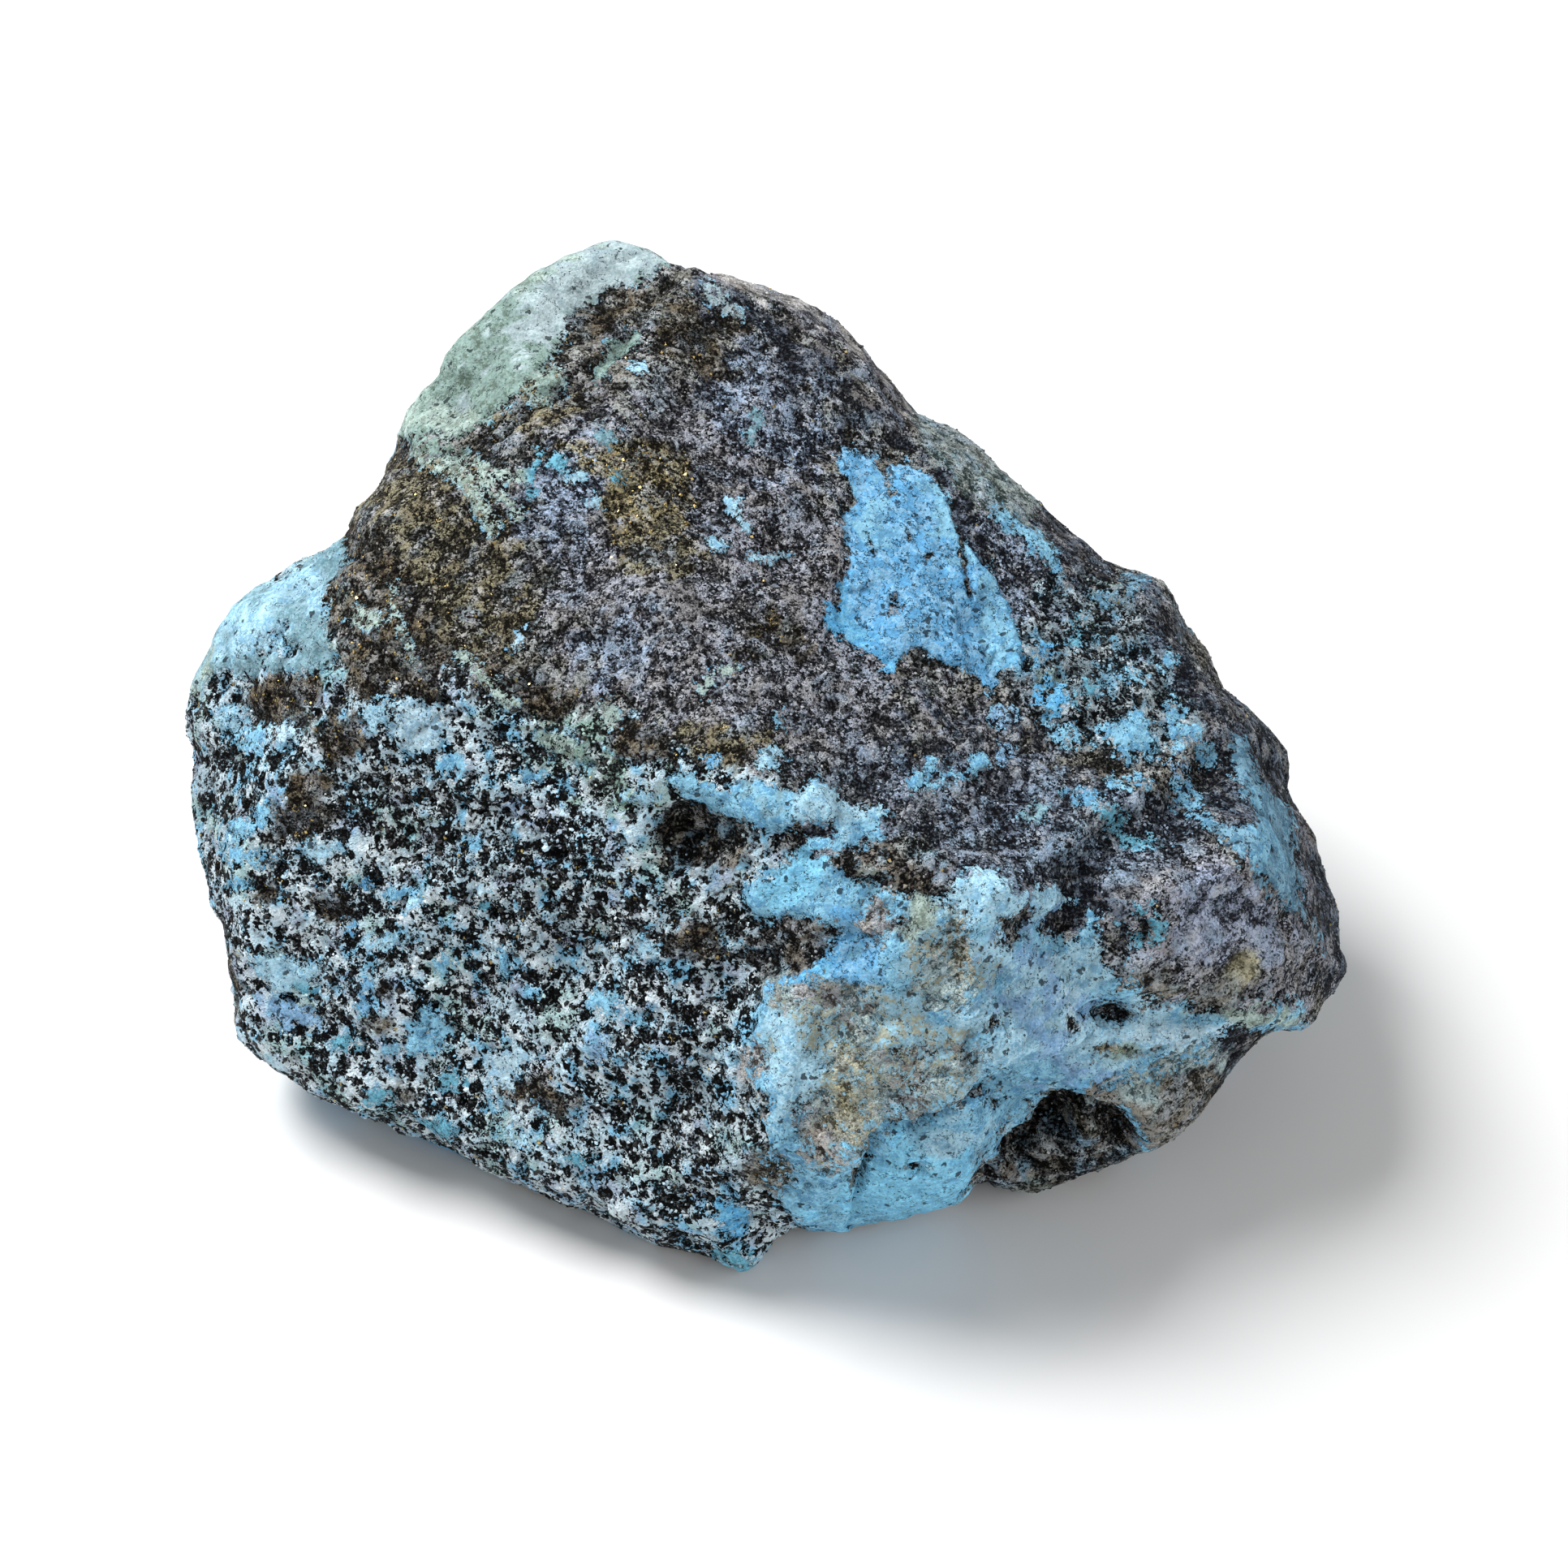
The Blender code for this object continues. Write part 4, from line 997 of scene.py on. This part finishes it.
class Graph:
    """Short calls that lay out a material's nodes."""

    def __init__(self, name):
        self.material = bpy.data.materials.new(name)
        self.material.use_nodes = True
        self.nodes = self.material.node_tree.nodes
        self.links = self.material.node_tree.links
        self.shader = self.nodes["Principled BSDF"]
        self.place = self.nodes.new("ShaderNodeTexCoord").outputs["Object"]

    def put(self, socket, value):
        """Links a value to a socket, or sets it there."""
        if isinstance(value, bpy.types.NodeSocket):
            self.links.new(value, socket)
        else:
            socket.default_value = value

    def node(self, kind, values, operation=None):
        """A new node whose sockets, by name or number, get these values."""
        node = self.nodes.new(kind)
        if operation:
            node.operation = operation
        for key, value in values.items():
            self.put(node.inputs[key], value)
        return node

    def math(self, operation, *values, clamp=False):
        """A sum, product or other operation on numbers."""
        node = self.node("ShaderNodeMath", dict(enumerate(values)), operation)
        node.use_clamp = clamp
        return node.outputs[0]

    def times(self, a, b):
        return self.math("MULTIPLY", a, b)

    def minus(self, a, b):
        return self.math("SUBTRACT", a, b)

    def line(self, value, slope, start):
        """Slope times the value, plus start."""
        return self.math("MULTIPLY_ADD", value, slope, start)

    def mix(self, share, a, b):
        """One colour turning into another as share goes from 0 to 1."""
        node = self.nodes.new("ShaderNodeMix")
        node.data_type = "RGBA"
        self.put(node.inputs["Factor"], share)
        self.put(node.inputs[6], a)
        self.put(node.inputs[7], b)
        return node.outputs[2]

    def blend(self, share, a, b):
        """One number turning into another as share goes from 0 to 1."""
        return self.node("ShaderNodeMix", {"Factor": share, 2: a, 3: b}).outputs[0]

    def scaled(self, colour, amount):
        """A colour made lighter or darker by an amount."""
        values = {0: colour, "Scale": amount}
        return self.node("ShaderNodeVectorMath", values, "SCALE").outputs[0]

    def step(self, value, low, high):
        """A soft step from 0 at low to 1 at high, which may be the lower of the two."""
        values = {"Value": value, "From Min": low, "From Max": high}
        node = self.node("ShaderNodeMapRange", values)
        node.interpolation_type = "SMOOTHSTEP"
        return node.outputs["Result"]

    def above(self, value, level):
        """1 where the value is above the level, and 0 elsewhere."""
        return self.math("GREATER_THAN", value, level)

    def noise(self, size, detail=2.0, roughness=0.5):
        """A random field from 0 to 1 with swells of a size in millimetres."""
        values = {"Vector": self.place, "Scale": 1.0 / (size * MM), "Detail": detail,
                  "Roughness": roughness}
        return self.node("ShaderNodeTexNoise", values).outputs["Fac"]

    def bent(self, size, reach):
        """Places moved about at random, by swells of a size and a reach in millimetres."""
        values = {"Vector": self.place, "Scale": 1.0 / (size * MM), "Detail": 1.0}
        moves = self.node("ShaderNodeTexNoise", values).outputs["Color"]
        values = {0: moves, 1: [reach * MM] * 3, 2: self.place}
        return self.node("ShaderNodeVectorMath", values, "MULTIPLY_ADD").outputs[0]

    def grains(self, size, place):
        """Grains of a size in millimetres: the distance from their middles, in sizes, and
        three random numbers for each grain."""
        node = self.node("ShaderNodeTexVoronoi", {"Vector": place, "Scale": 1.0 / (size * MM)})
        parts = self.node("ShaderNodeSeparateColor", {0: node.outputs["Color"]})
        return Grains(node.outputs["Distance"], *parts.outputs)

    def value(self, label, output="Fac"):
        """A number that the mesh holds at each corner."""
        node = self.nodes.new("ShaderNodeAttribute")
        node.attribute_name = label
        return node.outputs[output]

    def colour(self, label):
        """A colour that the mesh holds at each corner."""
        return self.value(label, "Color")

    def bump(self, height):
        """Bends the light as a height in millimetres would."""
        node = self.node("ShaderNodeBump", {"Distance": MM, "Height": height})
        self.put(self.shader.inputs["Normal"], node.outputs["Normal"])


def rock_colour(g, fields):
    """Large and small grains, each pale or dark, the fine rock's with dark gaps."""
    coarse, fine, milky, _, large, small = fields
    cloud = g.noise(2.2, 3.0, 0.6)
    share = g.math("ADD", g.value("pale_share"), g.line(cloud, 1.2, -0.62))
    share = g.math("ADD", share, g.line(milky, 1.1, -0.56))
    # Painted shade and highlight: fewer pale grains where the surface is sunken, more on its edges.
    share = g.line(g.value("painted_cavity_shade"), -0.30, share)
    dark_large = g.step(g.minus(large.chance, share), -0.05, 0.05)
    dark_large = g.times(dark_large, g.step(large.away, 0.66, 0.52))
    dark_small = g.step(g.minus(small.chance, share), 0.07, 0.15)
    dark_small = g.times(dark_small, g.step(small.away, 0.66, 0.50))
    coarse_pale = g.minus(1.0, g.math("MAXIMUM", dark_large, dark_small))
    fine_pale = g.step(g.minus(share, small.chance), -0.24, 0.24)
    fine_pale = g.times(fine_pale, g.step(small.away, 0.95, 0.35))
    pale = g.blend(coarse, fine_pale, coarse_pale)
    fine_tone = g.math("ADD", fine, g.line(coarse, -0.07, -0.5))
    pale = g.math("ADD", pale, fine_tone, clamp=True)
    return g.mix(pale, g.colour("rock_dark"), g.colour("rock_pale"))


def turquoise_colour(g, fields):
    """Two colours in cloudy patches, powdery, with dark specks and hairlines, and the specks."""
    _, fine, milky, torn, large, small = fields
    level = g.line(g.value("mottled"), -0.5, 0.75)
    second = g.line(g.minus(small.chance, 0.5), 0.28, milky)
    second = g.step(g.minus(second, level), -0.05, 0.05)
    blue = g.mix(second, g.colour("turquoise_colour"), g.colour("mottling_colour"))
    blue = g.scaled(blue, g.line(fine, 0.6, 0.70))
    blue = g.scaled(blue, g.line(torn, 1.0, 0.50))
    spots = g.value("spots")
    speck = g.above(large.second, g.line(spots, -0.24, 1.0))
    speck = g.times(speck, g.step(large.away, 0.34, 0.26))
    hairline = g.step(g.math("ABSOLUTE", g.minus(milky, 0.47)), 0.022, 0.007)
    hairline = g.times(hairline, g.above(small.second, g.line(spots, -0.45, 0.95)))
    speck = g.math("MAXIMUM", speck, hairline)
    return g.mix(g.times(speck, 0.85), blue, SPECK_COLOUR), speck


def stone_material():
    """Dark speckled rock with chalky turquoise on it, and sparks of pyrite."""
    g = Graph("turquoise_in_rock")
    fields = Fields(
        coarse=g.value("coarse"),
        fine=g.noise(0.20, 1.0),
        milky=g.noise(0.9, 4.0, 0.68),
        torn=g.noise(0.8, 5.0, 0.7),
        large=g.grains(LARGE_GRAIN, g.bent(0.40, 0.8)),
        small=g.grains(SMALL_GRAIN, g.bent(0.26, 1.1)),
    )
    coarse, fine, milky, torn, large, small = fields
    blue, speck = turquoise_colour(g, fields)

    # Where the turquoise lies: grain by grain at its edge, and deeper in colour there.
    ragged = g.line(g.minus(small.third, 0.5), 0.22, g.minus(torn, 0.5))
    inside = g.line(ragged, g.times(g.value("edge"), 7.0), g.value("turquoise"))
    patch = g.step(inside, -0.04, 0.04)
    rim = g.times(g.step(inside, 0.30, 0.0), 0.12)
    blue = g.mix(rim, blue, RIM_COLOUR)
    # Painted shade and highlight: the colour darkens in pits and lightens on edges by how sunken the
    # surface is.
    shade = g.line(g.value("painted_cavity_shade"), -0.22, 1.0)
    colour = g.scaled(g.mix(patch, rock_colour(g, fields), blue), shade)

    # Sparks of pyrite, one small grain in many.
    spark = g.above(small.second, g.line(g.value("gold"), -0.10, 1.0))
    spark = g.times(spark, g.step(small.away, 0.40, 0.32))
    spark = g.times(spark, g.minus(1.0, patch))
    dull = g.blend(patch, g.line(fine, 0.3, 0.60), 0.72)
    g.put(g.shader.inputs["Base Color"], g.mix(spark, colour, SPARK_COLOUR))
    g.put(g.shader.inputs["Metallic"], g.times(spark, 0.8))
    g.put(g.shader.inputs["Roughness"], g.blend(spark, dull, 0.35))
    g.shader.inputs["Specular IOR Level"].default_value = 0.07

    rock_height = g.line(g.times(large.away, coarse), -0.16, g.times(small.away, -0.10))
    blue_height = g.line(milky, 0.22, g.times(fine, 0.05))
    blue_height = g.line(speck, -0.06, blue_height)
    g.bump(g.blend(patch, rock_height, blue_height))
    return g.material


def grain_material():
    """Single grains: each has its own colour, with a finer grain in it."""
    g = Graph("mineral_grains")
    fine = g.noise(0.16, 2.0, 0.6)
    shade = g.line(fine, 0.9, 0.55)
    g.put(g.shader.inputs["Base Color"], g.scaled(g.colour("grain_colour"), shade))
    g.put(g.shader.inputs["Roughness"], g.line(fine, 0.4, 0.4))
    g.bump(g.times(fine, 0.03))
    return g.material


def pyrite_material():
    """Small brassy crystals, tarnished in places."""
    g = Graph("pyrite")
    tarnish = g.noise(0.5, 2.0, 0.6)
    g.put(g.shader.inputs["Base Color"], g.mix(tarnish, TARNISH_COLOUR, BRASS_COLOUR))
    g.shader.inputs["Metallic"].default_value = 1.0
    g.put(g.shader.inputs["Roughness"], g.line(tarnish, 0.3, 0.2))
    return g.material


def lump_shape():
    """A rough ball of twenty faces."""
    mesh = bmesh.new()
    bmesh.ops.create_icosphere(mesh, subdivisions=1, radius=1.0)
    return arrays(mesh)


def cube_shape():
    """A cube, its faces split in triangles."""
    mesh = bmesh.new()
    bmesh.ops.create_cube(mesh, size=1.6)
    bmesh.ops.triangulate(mesh, faces=mesh.faces)
    return arrays(mesh)


def random_turns(count, rng):
    """Random rotations, as matrices."""
    turns = np.linalg.qr(rng.normal(size=(count, 3, 3)))[0]
    return turns * np.sign(np.linalg.det(turns))[:, None, None]


def scatter(name, skin, weight, count, sizes, sunk, shape, jitter, colours, material, rng):
    """One mesh of many grains, thick where the weight is high, each partly sunk in the skin."""
    points, faces, normals = skin
    triangles = np.concatenate((faces[:, [0, 1, 2]], faces[:, [0, 2, 3]]))
    a, b, c = (points[triangles[:, i]] for i in range(3))
    room = np.linalg.norm(np.cross(b - a, c - a), axis=1) * weight[triangles].mean(axis=1)
    chosen = rng.choice(len(triangles), count, p=room / room.sum())
    parts = rng.dirichlet((1.0, 1.0, 1.0), count)
    corners = triangles[chosen]
    at = (points[corners] * parts[:, :, None]).sum(axis=1)
    out = (normals[corners] * parts[:, :, None]).sum(axis=1)
    size = rng.uniform(*sizes, count)
    form, form_faces = shape
    bodies = form[None] * (1.0 + jitter * rng.uniform(-1.0, 1.0, (count, len(form), 1)))
    bodies = bodies * rng.uniform(0.7, 1.2, (count, 1, 3))
    bodies = np.einsum("nij,nkj->nki", random_turns(count, rng), bodies)
    centres = at - out * (size * sunk)[:, None]
    placed = centres[:, None] + bodies * size[:, None, None]
    placed[:, :, 2] = np.maximum(placed[:, :, 2], BASE_DEPTH)
    all_faces = (form_faces[None] + np.arange(count)[:, None, None] * len(form)).reshape(-1, 3)
    values = {}
    if colours is not None:
        shade = colours[corners[:, 0]] * rng.uniform(0.6, 1.25, (count, 1))
        values["grain_colour"] = np.repeat(shade, len(form), axis=0)
    made = new_object(name, placed.reshape(-1, 3), all_faces, values, material)
    made.data.shade_flat()
    return made


def add_grains(skin, stuff):
    """Dark, pale and brassy grains."""
    rng = np.random.default_rng(SEED)
    off_base = ease(skin[0][:, 2], 0.4, 1.5)
    bare = ease(-stuff["turquoise"], 0.0, 0.5) * off_base
    coarse = ease(stuff["coarse"], 0.3, 0.9) * bare
    dark = 0.8 * stuff["rock_dark"] + 0.01
    pale = stuff["rock_pale"]
    grains = grain_material()
    lump = lump_shape()
    for name, weight, count, sizes, sunk, jitter, colours in (
            ("dark_grains", coarse, 4200, (0.10, 0.25), 0.55, 0.35, dark),
            ("pale_grains", coarse, 3000, (0.10, 0.22), 0.60, 0.35, pale),
            ("fine_dark_grains", bare, 5000, (0.07, 0.15), 0.30, 0.25, dark),
            ("fine_pale_grains", bare, 5000, (0.07, 0.14), 0.30, 0.25, pale)):
        scatter(name, skin, weight, count, sizes, sunk, lump, jitter, colours, grains, rng)
    brassy = (0.02 + stuff["gold"] ** 1.5) * bare
    scatter("pyrite_crystals", skin, brassy, 700, (0.05, 0.13), 0.30, cube_shape(), 0.0,
            None, pyrite_material(), rng)


def make_stone(frame):
    """The stone's skin and the grains that stand out of it."""
    surface = cad_surface(frame["nodes"][NODE])
    directions, faces = ball(CELLS)
    points = cast(surface, directions)
    pairs = neighbours(faces)
    flat = points[:, 2] < BASE_DEPTH
    points = smoothed(points, pairs, FACET_SMOOTHING)
    points[flat, 2] = 0.0
    normals = smoothed(corner_normals(points, faces), pairs, NORMAL_SMOOTHING)
    stuff = make_up(points, normals)
    points = points + normals * relief(points, stuff)[:, None]
    points[:, 2] = np.where(flat, 0.0, np.maximum(points[:, 2], 0.0))
    a, b, c = points[faces[0, :3]]
    if np.cross(b - a, c - a) @ normals[faces[0, 0]] < 0.0:
        faces = faces[:, ::-1]
    # How sunken each corner is, kept for painted shade in pits and painted highlight on edges.
    stuff["painted_cavity_shade"] = sunken(points, normals, pairs)
    values = {label: value for label, value in stuff.items() if label not in ("rise", "seen")}
    skin = new_object("stone_skin", points, faces, values, stone_material())
    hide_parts(NODE)
    add_grains((points, faces, corner_normals(points, faces)), stuff)


def make_floor():
    """A wide pale floor just under the stone."""
    mesh = bmesh.new()
    bmesh.ops.create_grid(mesh, x_segments=1, y_segments=1, size=FLOOR_HALF)
    data = bpy.data.meshes.new("floor")
    mesh.to_mesh(data)
    mesh.free()
    g = Graph("pale_floor")
    g.put(g.shader.inputs["Base Color"], g.mix(g.noise(40.0), *FLOOR_COLOURS))
    g.shader.inputs["Roughness"].default_value = 0.9
    data.materials.append(g.material)
    floor = bpy.data.objects.new("floor", data)
    floor.location = (0.0, 0.0, -FLOOR_GAP)
    bpy.context.scene.collection.objects.link(floor)


def add_light(name, place, size, power):
    """A square soft white light that looks at the stone."""
    data = bpy.data.lights.new(name, "AREA")
    data.size = size
    data.energy = power
    light = bpy.data.objects.new(name, data)
    light.location = place
    way = Vector(LIT_POINT) - Vector(place)
    light.rotation_euler = way.to_track_quat("-Z", "Y").to_euler()
    bpy.context.scene.collection.objects.link(light)


def make_studio():
    """Soft light from the upper left, and a white room."""
    scene = bpy.context.scene
    scene.view_settings.view_transform = "Standard"
    world = bpy.data.worlds.new("room")
    world.use_nodes = True
    background = world.node_tree.nodes["Background"]
    background.inputs["Color"].default_value = (1.0, 1.0, 1.0, 1.0)
    background.inputs["Strength"].default_value = ROOM_LIGHT
    scene.world = world
    add_light("window", (-0.34, 0.20, 0.56), 0.30, 5.4)
    add_light("fill", (0.50, -0.30, 0.45), 0.60, 1.4)


def make_camera():
    """The eye, looking down at the leaning broad side."""
    scene = bpy.context.scene
    data = bpy.data.cameras.new("camera")
    data.lens = 85.0
    data.sensor_width = 36.0
    data.clip_start = 0.01
    camera = bpy.data.objects.new("camera", data)
    right = (AIM_PIXEL[0] - AXIS_PIXEL[0]) / PIXELS_PER_MM
    down = (AIM_PIXEL[1] - AXIS_PIXEL[1]) / PIXELS_PER_MM
    aim = ORIGIN + RIGHT * right - UP * down
    camera.location = Vector((aim + BACK * EYE_DISTANCE) * MM)
    camera.rotation_euler = Vector(-BACK).to_track_quat("-Z", "Y").to_euler()
    scene.collection.objects.link(camera)
    scene.camera = camera


def main():
    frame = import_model()
    make_stone(frame)
    make_floor()
    make_studio()
    make_camera()


main()
